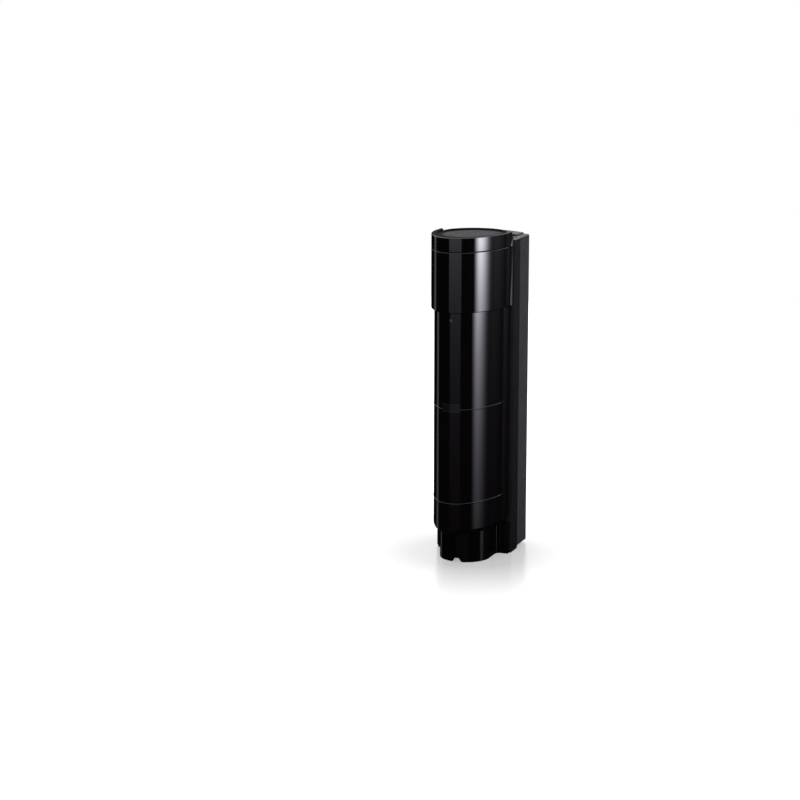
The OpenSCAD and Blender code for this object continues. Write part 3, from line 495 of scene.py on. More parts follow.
class Recipe:
    """A geometry node tree with named inputs."""

    def __init__(self, name, inputs):
        self.tree = bpy.data.node_groups.new(name, "GeometryNodeTree")
        sockets = self.tree.interface
        sockets.new_socket("Geometry", in_out="INPUT", socket_type="NodeSocketGeometry")
        for label, kind in inputs:
            sockets.new_socket(label, in_out="INPUT", socket_type="NodeSocket" + kind)
        sockets.new_socket("Geometry", in_out="OUTPUT", socket_type="NodeSocketGeometry")
        self.given = self.tree.nodes.new("NodeGroupInput").outputs

    def add(self, kind, feeds, output=0, **settings):
        """Adds a geometry node to this tree."""
        return add_node(self.tree, "GeometryNode" + kind, feeds, output, **settings)

    def plus(self, first, second):
        """The sum of two numbers or sockets."""
        return math_node(self.tree, "ADD", first, second)

    def times(self, first, second):
        """The product of two numbers or sockets."""
        return math_node(self.tree, "MULTIPLY", first, second)

    def vector(self, x=0.0, y=0.0, z=0.0):
        """A vector from three numbers or sockets."""
        return add_node(self.tree, "ShaderNodeCombineXYZ", {"X": x, "Y": y, "Z": z})

    def move(self, geometry, place, turn=(0.0, 0.0, 0.0)):
        """Moves and turns a geometry."""
        return self.add("Transform",
                        {"Geometry": geometry, "Translation": place, "Rotation": turn})

    def real(self, geometry):
        """A geometry with its copies made real."""
        return self.add("RealizeInstances", {"Geometry": geometry})

    def join(self, *parts):
        """Several geometries as one."""
        return self.add("JoinGeometry", {"Geometry": list(parts)})

    def sweep(self, path, profile, caps=False):
        """A profile drawn along a path, with its X to the right of the path and its Y downwards."""
        upright = self.add("SetCurveNormal", {"Curve": path}, mode="Z_UP")
        return self.add("CurveToMesh",
                        {"Curve": upright, "Profile Curve": profile, "Fill Caps": caps})

    def turn_round(self):
        """The given profile turned round the Z axis."""
        circle = self.add("CurvePrimitiveCircle",
                          {"Resolution": self.given["Facets"], "Radius": TURNING_POINT})
        profile = self.add("MeshToCurve", {"Mesh": self.given["Geometry"]})
        solid = self.sweep(circle, profile)
        return self.add("MergeByDistance", {"Geometry": solid, "Distance": AXIS_WELD})

    def cut(self, solid, *tools):
        """A solid less some others."""
        return self.add("MeshBoolean", {"Mesh 1": solid, "Mesh 2": list(tools)},
                        operation="DIFFERENCE", solver="EXACT")

    def facing_front(self, part):
        """Copies of a part on a grid of columns and rows, with its Z axis towards the front."""
        grid = self.add("MeshGrid", {
            "Size X": self.given["Width"], "Size Y": self.given["Height"],
            "Vertices X": self.given["Columns"], "Vertices Y": self.given["Rows"],
        })
        places = self.move(grid, self.given["Middle"], (math.pi / 2, 0.0, 0.0))
        spin = add_node(self.tree, "FunctionNodeRandomValue", {
            "Min_001": 0.0, "Max_001": self.given["Spin"], "Seed": self.given["Seed"],
        }, 1, data_type="FLOAT")
        return self.add("InstanceOnPoints", {
            "Points": places, "Instance": part, "Rotation": self.vector(math.pi / 2, spin),
        })

    def finish(self, geometry):
        """Ends the tree in a plain mesh with its material."""
        dressed = self.add("SetMaterial",
                           {"Geometry": self.real(geometry), "Material": self.given["Material"]})
        feed(self.tree.nodes.new("NodeGroupOutput"), {"Geometry": dressed})
        return self.tree


def floats(*labels):
    """Inputs of a recipe that are numbers."""
    return [(label, "Float") for label in labels]


PLACING = floats("Width", "Height", "Spin") + [
    ("Columns", "Int"), ("Rows", "Int"), ("Middle", "Vector"), ("Seed", "Int"), ("Facets", "Int"),
    ("Material", "Material"),
]


def band_recipe():
    """A band along the hood's plan with rounded edges and a lap inside its top."""
    r = Recipe("swept_band", floats("Wall", "Foot", "Height", "Edge", "Lap wall", "Lap height") + [
        ("Edge steps", "Int"), ("Material", "Material"),
    ])
    given = r.given
    path = r.add("MeshToCurve", {"Mesh": given["Geometry"]})
    parts = []
    middle = r.plus(given["Foot"], r.times(given["Height"], 0.5))
    top = r.plus(given["Foot"], given["Height"])
    lap_middle = math_node(r.tree, "SUBTRACT", top, r.times(given["Lap height"], 0.5))
    lap_place = r.plus(given["Wall"], r.times(given["Lap wall"], LAP_SEAT))
    wall_place = r.times(given["Wall"], 0.5)
    for wide, high, across, level, edge in (
            (given["Wall"], given["Height"], wall_place, middle, given["Edge"]),
            (given["Lap wall"], given["Lap height"], lap_place, lap_middle, LAP_EDGE)):
        section = r.add("CurvePrimitiveQuadrilateral", {"Width": wide, "Height": high})
        rounded = r.add("FilletCurve",
                        {"Curve": section, "Count": given["Edge steps"], "Radius": edge},
                        mode="POLY")
        placed = r.move(rounded, r.vector(across, r.times(level, -1.0)))
        parts.append(r.sweep(path, placed, True))
    return r.finish(r.join(*parts))


def screw_recipe():
    """Turned screws on a grid, each with a cross in its head and turned by a chance angle."""
    r = Recipe("cross_screws", floats("Drive length", "Drive width", "Drive depth") + PLACING)
    given = r.given
    deep = r.times(given["Drive depth"], 2.0)
    long, wide = given["Drive length"], given["Drive width"]
    arms = [r.add("MeshCube", {"Size": r.vector(*span, deep)})
            for span in ((long, wide), (wide, long))]
    return r.finish(r.facing_front(r.cut(r.turn_round(), *arms)))


def knob_recipe():
    """A turned knob with flutes round its head and a slot across it."""
    r = Recipe("fluted_knob", floats(
        "Flute radius", "Flute depth", "Head radius", "Slot length", "Slot width", "Slot depth",
    ) + [("Flutes", "Int")] + PLACING)
    given = r.given
    flute = r.add("MeshCylinder", {
        "Vertices": FLUTE_FACETS, "Side Segments": 1, "Fill Segments": 1,
        "Radius": given["Flute radius"], "Depth": r.times(given["Flute depth"], 2.0),
    })
    round_head = r.add("MeshCircle",
                       {"Vertices": given["Flutes"], "Radius": given["Head radius"]})
    copies = r.add("InstanceOnPoints", {"Points": round_head, "Instance": flute})
    deep = r.times(given["Slot depth"], 2.0)
    slot = r.add("MeshCube",
                 {"Size": r.vector(given["Slot length"], given["Slot width"], deep)})
    return r.finish(r.facing_front(r.cut(r.turn_round(), r.real(copies), slot)))


def lens_recipe():
    """Turned lenses on a grid, each with fine raised rings over its dome."""
    r = Recipe("ringed_lenses",
               floats("Ring step", "Ring size", "Dome radius") + [("Rings", "Int")] + PLACING)
    given = r.given
    index = r.add("InputIndex", {})
    radius = r.times(r.plus(index, 1.0), given["Ring step"])
    twice = r.times(given["Dome radius"], -2.0)
    sag = math_node(r.tree, "DIVIDE", r.times(radius, radius), twice)
    line = r.add("MeshLine", {"Count": given["Rings"], "Offset": r.vector(MM)})
    levels = r.add("SetPosition",
                   {"Geometry": line, "Position": r.vector(0.0, 0.0, sag)})
    circle = r.add("CurvePrimitiveCircle",
                   {"Resolution": given["Facets"], "Radius": 1.0})
    copies = r.add("InstanceOnPoints",
                   {"Points": levels, "Instance": circle, "Scale": r.vector(radius, radius, 1.0)})
    section = r.add("CurvePrimitiveCircle",
                    {"Resolution": RING_FACETS, "Radius": given["Ring size"]})
    rings = r.sweep(r.real(copies), section)
    return r.finish(r.facing_front(r.join(r.turn_round(), rings)))


def polyline(name, points):
    """A mesh of edges through the points."""
    mesh = bpy.data.meshes.new(name)
    mesh.from_pydata(points, [(i, i + 1) for i in range(len(points) - 1)], [])
    return mesh


def grown(name, tree, mesh, values):
    """The plain mesh that a recipe makes from a mesh and the values of its inputs."""
    made = mesh_object(name, mesh)
    step = made.modifiers.new("recipe", "NODES")
    step.node_group = tree
    for item in tree.interface.items_tree:
        if item.in_out == "INPUT" and item.name in values:
            step[item.identifier] = values[item.name]
    return apply_modifiers(made)


def turned(name, tree, profile, node, columns, rows, slot_name, values):
    """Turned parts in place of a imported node, spread over its box; profile of radii and depths."""
    low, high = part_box(node)
    radius = max(r for r, depth in profile)
    given = {
        "Columns": columns, "Rows": rows, "Seed": SPIN_SEED, "Spin": 0.0,
        "Facets": TURNED_FACETS, "Material": finish_of(slot_name),
        "Width": high[0] - low[0] - 2 * radius, "Height": high[2] - low[2] - 2 * radius,
        "Middle": ((low[0] + high[0]) / 2, low[1], (low[2] + high[2]) / 2),
    }
    given.update(values)
    made = grown(name, tree, polyline(name, [(r, depth, 0.0) for r, depth in profile]), given)
    smooth(made, TURNED_ANGLE)
    return dress(made, slot_name, body_of(node), node)


def softened(name, node, width, flat=False):
    """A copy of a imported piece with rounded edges, its flat faces made whole if asked."""
    bm = bmesh.new()
    bm.from_mesh(frame["nodes"][node].data)
    bmesh.ops.remove_doubles(bm, verts=bm.verts, dist=2 * WELD)
    if flat:
        limit = math.radians(FLAT_ANGLE)
        bmesh.ops.dissolve_limit(bm, angle_limit=limit, verts=bm.verts, edges=bm.edges)
    mesh = bpy.data.meshes.new(name)
    bm.to_mesh(mesh)
    bm.free()
    return soft_edges(mesh_object(name, mesh), width, angle=PACKED_ANGLE)


def body_of(node):
    """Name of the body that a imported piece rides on."""
    parent = frame["nodes"][node].parent
    return next(name for name, body in frame["bodies"].items() if body == parent)


# Finishes

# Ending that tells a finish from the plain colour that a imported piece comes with
FINISH = "_finish"
# Detail of noise that roughness follows and of noise that raises the surface
FINE, COARSE = 4.0, 2.0
# Noise per metre that a plastic's tone and roughness follow, and a lens' tone
TONE_NOISE, ROUGH_NOISE, LENS_NOISE = 60.0, 240.0, 40.0
# Least and most roughness, as shares of a finish's own
PLASTIC_ROUGH = (0.85, 1.2)
METAL_ROUGH = (0.8, 1.3)
# Darkest tone of a metal and lightest one of a lens, as shares, and height of a metal's grain
METAL_DARK, LENS_LIGHT = 0.8, 1.2
METAL_GRAIN = 0.01 * MM


def new_material(name):
    """A node material, its shader and the socket of its object coordinates."""
    material = bpy.data.materials.new(name + FINISH)
    material.use_nodes = True
    place = add_node(material.node_tree, "ShaderNodeTexCoord", {}, "Object")
    return material, material.node_tree.nodes["Principled BSDF"], place


def noise(place, scale, detail=3.0):
    """Noise of a given scale per metre."""
    feeds = {"Scale": scale, "Detail": detail, "Roughness": 0.5, "Vector": place}
    return add_node(place.id_data, "ShaderNodeTexNoise", feeds)


def spread(value, low, high, start=0.3, end=0.7):
    """Maps a value from one range to another; most noise lies in the first one's default."""
    feeds = {"From Min": start, "From Max": end, "To Min": low, "To Max": high, "Value": value}
    return add_node(value.id_data, "ShaderNodeMapRange", feeds)


def tint(value, dark, light):
    """Mixes two colours by a value."""
    feeds = {"A": (*dark, 1.0), "B": (*light, 1.0), "Factor": value}
    return add_node(value.id_data, "ShaderNodeMix", feeds, "Result", data_type="RGBA")


def bump(value, height):
    """A surface's normal, raised by a value in metres."""
    feeds = {"Distance": height, "Strength": 1.0, "Height": value}
    return add_node(value.id_data, "ShaderNodeBump", feeds, "Normal")


def plastic(name, base, rough, grain, grain_height, ior=1.5, shade=0.12):
    """Moulded plastic: slight changes of tone, moulding waves or grain, and dust."""
    material, shader, place = new_material(name)
    light = [min(1.0, c * (1 + shade)) for c in base]
    dark = [c * (1 - shade) for c in base]
    feed(shader, {
        "Base Color": tint(spread(noise(place, TONE_NOISE), 0.0, 1.0), dark, light),
        "Roughness": spread(noise(place, ROUGH_NOISE, FINE), *(rough * s for s in PLASTIC_ROUGH)),
        "Normal": bump(noise(place, grain, COARSE), grain_height),
        "IOR": ior,
    })
    return material


def metal(name, base, rough, scale, level=1.0):
    """Plated steel or brass with a fine drawn grain."""
    material, shader, place = new_material(name)
    light = [level * c for c in base]
    dark = [c * METAL_DARK for c in light]
    feed(shader, {
        "Base Color": tint(spread(noise(place, scale), 0.0, 1.0), dark, light),
        "Roughness": spread(noise(place, 4 * scale, FINE), *(rough * s for s in METAL_ROUGH)),
        "Normal": bump(noise(place, 6 * scale, COARSE), METAL_GRAIN),
        "Metallic": 1.0,
    })
    return material


def lens_material(name, base):
    """Clear moulded lens with a faint tint."""
    material, shader, place = new_material(name)
    light = [min(1.0, c * LENS_LIGHT) for c in base]
    feed(shader, {
        "Base Color": tint(spread(noise(place, LENS_NOISE), 0.0, 1.0), base, light),
        "Roughness": 0.05, "Transmission Weight": 0.6, "IOR": 1.49,
    })
    return material


# Plastics by slot: colour or the name of its setting, roughness, grain per metre and its height,
# then where they aren't the usual ones the index of refraction and the change of tone
PLASTICS = {
    "gloss_black_cover": ("gloss_black", 0.045, 14.0, 0.02 * MM),
    "gloss_black_hood": ("gloss_black", 0.045, 14.0, 0.02 * MM),
    "gloss_black_cap": ("gloss_black", 0.055, 14.0, 0.02 * MM),
    "gloss_black_boot": ("gloss_black", 0.06, 14.0, 0.02 * MM),
    "recess_grey_plastic": ("lid_grey", 0.5, 700.0, 0.03 * MM, 1.12, 0.35),
    "nameplate_black": ((0.004, 0.0035, 0.0042), 0.12, 900.0, 0.005 * MM),
    "charcoal_plastic": ("charcoal", 0.22, 1800.0, 0.012 * MM),
    "graphite_plastic": ("graphite", 0.36, 1800.0, 0.015 * MM),
    "lamp_lens": ((0.035, 0.033, 0.033), 0.5, 400.0, 0.005 * MM, 1.3),
    "seal_rubber": ((0.02, 0.02, 0.022), 0.7, 900.0, 0.02 * MM),
    "yoke_plastic": ((0.06, 0.062, 0.068), 0.4, 1200.0, 0.02 * MM),
    "optic_black": ((0.015, 0.015, 0.017), 0.35, 1500.0, 0.02 * MM),
    "board_green": ((0.012, 0.085, 0.03), 0.3, 500.0, 0.02 * MM, 1.5, 0.25),
    "post_nylon": ((0.6, 0.62, 0.58), 0.4, 600.0, 0.01 * MM),
    "component_black": ((0.014, 0.016, 0.019), 0.45, 1500.0, 0.01 * MM),
    "relay_white": ((0.68, 0.69, 0.7), 0.35, 900.0, 0.01 * MM),
    "lamp_red": ((0.55, 0.03, 0.02), 0.12, 400.0, 0.004 * MM),
    "dial_ivory": ((0.78, 0.74, 0.64), 0.35, 900.0, 0.01 * MM),
    "switch_red": ((0.42, 0.025, 0.018), 0.35, 900.0, 0.01 * MM),
    "terminal_ivory": ((0.8, 0.77, 0.68), 0.38, 900.0, 0.015 * MM),
}
# Metals by slot: colour or the name of its setting, roughness, grain per metre and brightness
METALS = {
    "zinc_steel": ("zinc", 0.28, 300.0),
    "screw_steel": ("zinc", 0.22, 500.0),
    "frame_zinc": ("zinc", 0.35, 200.0, 0.8),
    "contact_brass": ((0.72, 0.5, 0.18), 0.25, 300.0),
}
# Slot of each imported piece
SLOTS = {part["node"]: part["material_slot"] for part in frame["record"]["subparts"]}


def finishes(c):
    """Every finish of the tower by the slot that it stands for."""
    made = {"lens_plum": lens_material("lens_plum", tuple(c.lens_plum))}
    for make, table in ((plastic, PLASTICS), (metal, METALS)):
        for name, (base, *values) in table.items():
            base = tuple(getattr(c, base)) if isinstance(base, str) else base
            made[name] = make(name, base, *values)
    return made


def finish_of(slot_name):
    """The finish made for a slot."""
    return bpy.data.materials[slot_name + FINISH]


def dress(made, slot_name, body, *nodes):
    """Gives a piece its finish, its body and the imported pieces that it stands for."""
    made.data.materials.clear()
    made.data.materials.append(finish_of(slot_name))
    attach(made, body)
    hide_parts(*nodes)
    return made


# Operators

# Facets of the foot's rounding, of a nameplate's arc, of the hood's and the cap's edges and of a
# boot's flare
FOOT_STEPS, BADGE_STEPS, HOOD_EDGE_STEPS, CAP_EDGE_STEPS, FLARE_STEPS = 8, 24, 4, 4, 12
# Pad between the cap's lid and the cover's top: its gap to the cover's wall all round, and how
# far it reaches into the lid
PAD_GAP = 3 * MM
PAD_LAP = 0.2 * MM
# Gap round the plate in the lid's recess, and radius of its edges
PLATE_GAP = 0.2 * MM
PLATE_EDGE = 0.2 * MM
# Web across the boot that the cover screw goes through: its front, back and foot, and its lap
WEB_FRONT, WEB_BACK, WEB_FOOT = 8 * MM, 5 * MM, 6 * MM
WEB_LAP = 0.4 * MM
# Radius of the cover screw's bore, and where it starts in front of the parting plane
BORE_RADIUS = 2.05 * MM
BORE_FRONT = 9 * MM
# Half width of the notch's narrow top, as a share of the notch's width
NOTCH_TOP = 0.2
CASE_EDGE = 0.4 * MM
KNOB_EDGE = 0.35 * MM
# Length of a knob's slot as a share of the knob's radius
SLOT_REACH = 1.5
# Facets over a lens' dome and over a screw's head, and round a lens and a knob
DOME_STEPS, HEAD_STEPS = 24, 6
LENS_FACETS, KNOB_FACETS = 72, 48
# Shares of a screw head: radius of its flat top and height of its rounding, then reach and width
# of its cross
HEAD_TOP, HEAD_ROUND, CROSS_REACH, CROSS_WIDTH = 0.62, 0.55, 1.15, 0.26
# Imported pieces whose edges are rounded, by the radius
ROUNDED = {
    0.4 * MM: ("upper_lens_block", "lower_lens_block"),
    0.35 * MM: ("upper_yoke", "lower_yoke"),
    0.3 * MM: ("alarm_relay",),
    0.25 * MM: ("upper_frame", "lower_frame", "upper_sight", "lower_sight"),
    0.2 * MM: ("dial_housings", "tamper_switch", "monitor_jack", "terminal_block"),
    0.15 * MM: ("dip_switch",),
    0.1 * MM: ("control_board",),
}
# Screws by node: columns, rows, head radius, head thickness, shank radius and depth of the cross
SCREWS = {
    "chassis_screws": (2, 2, 3.6 * MM, 2.4 * MM, 1.6 * MM, 1.3 * MM),
    "upper_frame_screws": (2, 2, 3.4 * MM, 2 * MM, 1.6 * MM, 1.2 * MM),
    "lower_frame_screws": (2, 2, 3.4 * MM, 2 * MM, 1.6 * MM, 1.2 * MM),
    "terminal_screws": (9, 1, 2.2 * MM, 2 * MM, 1.3 * MM, 1.1 * MM),
    "cover_screw": (1, 1, 4 * MM, 3.15 * MM, 1.97 * MM, 1.6 * MM),
}


class BeamStep:
    """What the operators share: an id and a label from the class's name, and how it runs."""

    def __init_subclass__(cls):
        name = cls.__name__.removeprefix("BEAM_OT_")
        cls.bl_idname = "beam." + name
        cls.bl_label = name.replace("_", " ").capitalize()

    def execute(self, context):
        self.make(context.scene)
        return {"FINISHED"}


class BEAM_OT_finishes(BeamStep, bpy.types.Operator):
    """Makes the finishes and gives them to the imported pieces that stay"""

    def make(self, scene):
        made = finishes(scene.beam_colours)
        for name, node in frame["nodes"].items():
            slot_name = SLOTS.get(name)
            if slot_name not in made:
                raise RuntimeError("no finish for " + name)
            if not node.material_slots:
                node.data.materials.append(made[slot_name])
            for slot in node.material_slots:
                slot.material = made[slot_name]


class BEAM_OT_front_cover(BeamStep, bpy.types.Operator):
    """Makes the cover with its rounded foot, grooves, rear lips and lamp hole, and its nameplate"""

    def make(self, scene):
        s = scene.beam_shell
        outer, inner = self.sections(s)
        bm = bmesh.new()
        out = shell_rings(bm, s, outer)
        within = shell_rings(bm, s, inner)
        for ring in (out[0], out[-1], within[0], within[-1]):
            close_across(bm, ring)
        for end in (0, -1):
            for k in range(len(out) - 1):
                bm.faces.new((out[k][end], out[k + 1][end], within[k + 1][end], within[k][end]))
        for k in (0, -1):
            bm.faces.new((out[k][0], out[k][-1], within[k][-1], within[k][0]))
        cover = from_bmesh("smoked_cover", bm)
        lamp_z = (least("indicator_lens", "z") + most("indicator_lens", "z")) / 2
        nose_y = s.cover_inset - s.hood_reach
        hole = rod("lamp_hole", (0.0, lamp_z), s.lamp_width / 2,
                   nose_y - OVER, nose_y + 2 * s.cover_wall)
        combine(cover, self.lips(s), "UNION")
        combine(cover, [hole], "DIFFERENCE")
        soft_edges(cover, s.edge)
        dress(cover, "gloss_black_cover", "cover", "front_cover")
        self.nameplate(s)

    def sections(self, s):
        """Heights and insets of the cover's outside and inside."""
        outer = []
        inner = []
        small = s.cover_edge - s.cover_wall
        floor = s.cover_low + s.cover_wall
        within = s.cover_inset + s.cover_wall
        for i in range(FOOT_STEPS + 1):
            t = math.pi / 2 * i / FOOT_STEPS
            rise = 1 - math.cos(t)
            draw = 1 - math.sin(t)
            outer.append((s.cover_low + s.cover_edge * rise, s.cover_inset + s.cover_edge * draw))
            inner.append((floor + small * rise, within + small * draw))
        half = s.groove_width / 2
        lip = s.groove_lip
        for middle in (s.low_groove, s.mid_groove):
            for dz, depth in ((-half, 0), (-half / 2, s.groove_depth), (half / 2, s.groove_depth),
                              (half, -lip), (half + lip / 2, -lip), (half + 3 * lip / 2, 0)):
                outer.append((middle + dz, s.cover_inset + depth))
                inner.append((middle + dz, within))
        outer.append((s.cover_top, s.cover_inset))
        inner.append((s.cover_top - s.cover_wall, within))
        return outer, inner

    def lips(self, s):
        """Lips along the cover's rear edges, up to just below the hood."""
        front = -FRONT_GAP - s.lip_width
        return rear_strips("lip", s.hood_width / 2 - s.cover_inset, OVER / 2, s.lip_height,
                           front + s.lip_slope, front, s.cover_low + s.cover_edge,
                           s.hood_low - OVER)

    def nameplate(self, s):
        """Blank plate with a fine border that follows the cover's nose."""
        inner = s.nose_radius - s.cover_inset
        outer = inner + s.badge_thick
        half = math.asin(s.badge_width / 2 / outer)
        foot = s.badge_middle - s.badge_height / 2
        plate = self.curved_plate("blank_nameplate", s, (outer, inner), half,
                                  foot, foot + s.badge_height)
        panel = self.curved_plate("field", s, (outer + OVER, outer - s.badge_thick / 4),
                                  half - s.badge_border / outer, foot + s.badge_border,
                                  foot + s.badge_height - s.badge_border)
        combine(plate, [panel], "DIFFERENCE")
        soft_edges(plate, s.badge_thick / 6)
        dress(plate, "nameplate_black", "cover", "nameplate")

    def curved_plate(self, name, s, radii, half, low, high):
        """A plate between two radii of the nose, to half an angle on each side."""
        centre = (0.0, s.nose_radius - s.hood_reach)
        ahead = -math.pi / 2
        face = arc(centre, radii[0], ahead + half, ahead - half, BADGE_STEPS)
        back = arc(centre, radii[1], ahead - half, ahead + half, BADGE_STEPS)
        return prism(name, face + back, low, high)


class BEAM_OT_hood(BeamStep, bpy.types.Operator):
    """Makes the hood over the top of the cover, with a bead along each rear edge"""

    def make(self, scene):
        s = scene.beam_shell
        path = polyline("hood_path", [(x, PART_Y + y, 0.0) for x, y in hood_plan(s)])
        hood = grown("hood_shell", band_recipe(), path, {
            "Wall": s.hood_wall, "Foot": s.hood_low, "Height": s.cap_low - s.hood_low,
            "Edge": s.hood_edge, "Edge steps": HOOD_EDGE_STEPS,
            "Lap wall": s.cover_inset - s.hood_wall, "Lap height": s.lap_height,
            "Material": finish_of("gloss_black_hood"),
        })
        combine(hood, rear_beads(s, s.hood_low, s.cap_low), "UNION")
        soft_edges(hood, s.edge / 2)
        dress(hood, "gloss_black_hood", "cover", "hood")


class BEAM_OT_top_cap(BeamStep, bpy.types.Operator):
    """Makes the cap: a band that continues the hood, and a lid with a round back and a recess"""

    def make(self, scene):
        s = scene.beam_shell
        cap = swept_band("cap_shell", s, self.section(s))
        foot = s.top - s.lid_body
        rim = s.top - s.lid_drop
        front = [p for p in hood_plan(s, s.hood_wall / 2) if p[1] < -s.lid_middle]
        right, left = front[0][0], front[-1][0]
        plan = [(right, -s.lid_middle)] + front + [(left, -s.lid_middle)]
        parts = [prism("apron", plan, foot, s.top), prism("lid", lid_plan(s), foot, rim)]
        combine(cap, parts + rear_beads(s, s.cap_low, s.top - s.cap_bead_drop), "UNION")
        step = prism("step", lid_plan(s, -WELD), rim, s.top + OVER)
        recess = prism("recess", lid_plan(s, s.lid_rim, s.recess_reach),
                       rim - s.lid_recess, s.top + OVER)
        combine(cap, [step, recess], "DIFFERENCE")
        pad = prism("pad", hood_plan(s, s.cover_inset + PAD_GAP, PAD_GAP),
                    s.cover_top, foot + PAD_LAP)
        combine(cap, [pad], "UNION")
        soft_edges(cap, s.edge, 3)
        dress(cap, "gloss_black_cap", "cover", "top_cap")
        plate = prism("lid_plate", lid_plan(s, s.lid_rim + PLATE_GAP, s.recess_reach),
                      least("cap_plate", "z"), most("cap_plate", "z"))
        soft_edges(plate, PLATE_EDGE)
        dress(plate, "recess_grey_plastic", "cover", "cap_plate")

    def section(self, s):
        """Heights and insets round the cap's band, with its outer edges rounded."""
        r = s.cap_edge
        turn = [math.pi / 2 / CAP_EDGE_STEPS * i for i in range(CAP_EDGE_STEPS + 1)]
        low = [(s.cap_low + r * (1 - math.cos(t)), r * (1 - math.sin(t))) for t in turn]
        high = [(s.top - r * (1 - math.sin(t)), r * (1 - math.cos(t))) for t in turn]
        return low + high + [(s.top, s.hood_wall), (s.cap_low, s.hood_wall)]


class BEAM_OT_boot(BeamStep, bpy.types.Operator):
    """Makes the boot below the cover: a hollow lobe with a flange, flares and a notch"""

    def make(self, scene):
        s = scene.beam_shell
        top = most("bottom_boot", "z")
        roof = top - s.boot_wall
        boot = prism("boot_shell", self.outline(s), 0.0, top)
        hollow = prism("hollow", self.lobe(s, s.boot_wall, s.flange_depth + FRONT_GAP),
                       -OVER, roof)
        rear = prism("rear_hollow", self.lobe(s, s.boot_wall, -OVER), -OVER, roof)
        combine(boot, [hollow, rear], "DIFFERENCE")
        half = s.boot_width / 2 - WEB_LAP
        plan = [(-half, -WEB_FRONT), (half, -WEB_FRONT), (half, -WEB_BACK), (-half, -WEB_BACK)]
        combine(boot, [prism("web", plan, WEB_FOOT, top - WEB_LAP)], "UNION")
        screw_z = (least("cover_screw", "z") + most("cover_screw", "z")) / 2
        bore = rod("bore", (0.0, screw_z), BORE_RADIUS, -BORE_FRONT, OVER)
        combine(boot, [bore, self.notch(s)], "DIFFERENCE")
        soft_edges(boot, s.edge, 3)
        dress(boot, "gloss_black_boot", "cover", "bottom_boot")

    def nose(self, s, inset):
        """Round front of the lobe."""
        r = s.boot_width / 2
        return arc((0.0, r - s.boot_reach), r - inset, 0.0, -math.pi, s.nose_steps)

    def lobe(self, s, inset, back):
        """Plan of the lobe: straight sides and a round nose."""
        half = s.boot_width / 2 - inset
        return [(half, -back)] + self.nose(s, inset) + [(-half, -back)]

    def outline(self, s):
        """Plan of the lobe with its flange and flares."""
        half = s.hood_width / 2
        front = -FRONT_GAP - s.flange_depth
        middle = (s.boot_width / 2 + s.boot_flare, front - s.boot_flare)
        flare = arc(middle, s.boot_flare, math.pi / 2, math.pi, FLARE_STEPS)
        right = [(half, -FRONT_GAP), (half, front)] + flare
        return right + self.nose(s, 0.0) + [(-x, y) for x, y in reversed(right)]

    def notch(self, s):
        """Cutter for the notch at the foot of the nose."""
        wide, narrow = s.notch_width / 2, s.notch_width * NOTCH_TOP
        section = [(-wide, -OVER), (wide, -OVER), (wide, 0.0), (narrow, s.notch_height),
                   (-narrow, s.notch_height), (-wide, 0.0)]
        return level_prism("notch", section,
                           -s.boot_reach - OVER, -s.boot_reach + s.boot_width / 2)


class BEAM_OT_case(BeamStep, bpy.types.Operator):
    """Rounds the moulded edges of the chassis and the rear housing"""

    def make(self, scene):
        for name, node in (("tray_chassis", "chassis"), ("back_housing", "rear_housing"),
                           ("foot_of_housing", "housing_foot")):
            dress(softened(name, node, CASE_EDGE, True), SLOTS[node], "case", node)


class BEAM_OT_fittings(BeamStep, bpy.types.Operator):
    """Rounds the edges of the frames, yokes, lens blocks and the parts on the board"""

    def make(self, scene):
        for width, nodes in ROUNDED.items():
            for node in nodes:
                dress(softened("soft_" + node, node, width), SLOTS[node], body_of(node), node)


class BEAM_OT_optics(BeamStep, bpy.types.Operator):
    """Makes the ringed lenses and the fluted tilt knobs"""

    def make(self, scene):
        lens_tree, knob_tree = lens_recipe(), knob_recipe()
        for unit in ("upper", "lower"):
            self.lenses(scene.beam_optics, unit, lens_tree)
            self.knob(scene.beam_optics, unit, knob_tree)

    def lenses(self, o, unit, tree):
        """The two lenses of a unit, one above the other."""
        low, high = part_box(unit + "_lenses")
        half = o.lens_width / 2
        dome = (half * half + o.lens_rise * o.lens_rise) / (2 * o.lens_rise)
        radii = [half * i / DOME_STEPS for i in range(DOME_STEPS + 1)]
        rise = [(r, dome - math.sqrt(dome * dome - r ** 2)) for r in radii]
        profile = rise + [(half, high[1] - low[1]), (0.0, high[1] - low[1])]
        turned(unit + "_ringed_lenses", tree, profile, unit + "_lenses", 1, 2, "lens_plum", {
            "Rings": o.rings, "Ring step": half / (o.rings + 1), "Ring size": o.ring_size,
            "Dome radius": dome, "Facets": LENS_FACETS,
        })

    def knob(self, o, unit, tree):
        """The tilt screw of a unit: a knob with its shaft and collar."""
        low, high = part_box(unit + "_tilt_screw")
        r, shaft, collar = o.knob_width / 2, o.shaft_width / 2, o.collar_width / 2
        depth = high[1] - low[1]
        seat = depth - o.collar_thick
        profile = [(0.0, 0.0), (r - KNOB_EDGE, 0.0), (r, KNOB_EDGE),
                   (r, o.knob_thick - KNOB_EDGE), (r - KNOB_EDGE, o.knob_thick),
                   (shaft, o.knob_thick), (shaft, seat), (collar, seat), (collar, depth),
                   (0.0, depth)]
        turned(unit + "_knob", tree, profile, unit + "_tilt_screw", 1, 1, "screw_steel", {
            "Flutes": o.flutes, "Flute radius": o.flute_size, "Flute depth": o.knob_thick + OVER,
            "Head radius": r, "Slot length": SLOT_REACH * r, "Slot width": o.slot_width,
            "Slot depth": o.slot_depth, "Facets": KNOB_FACETS,
        })


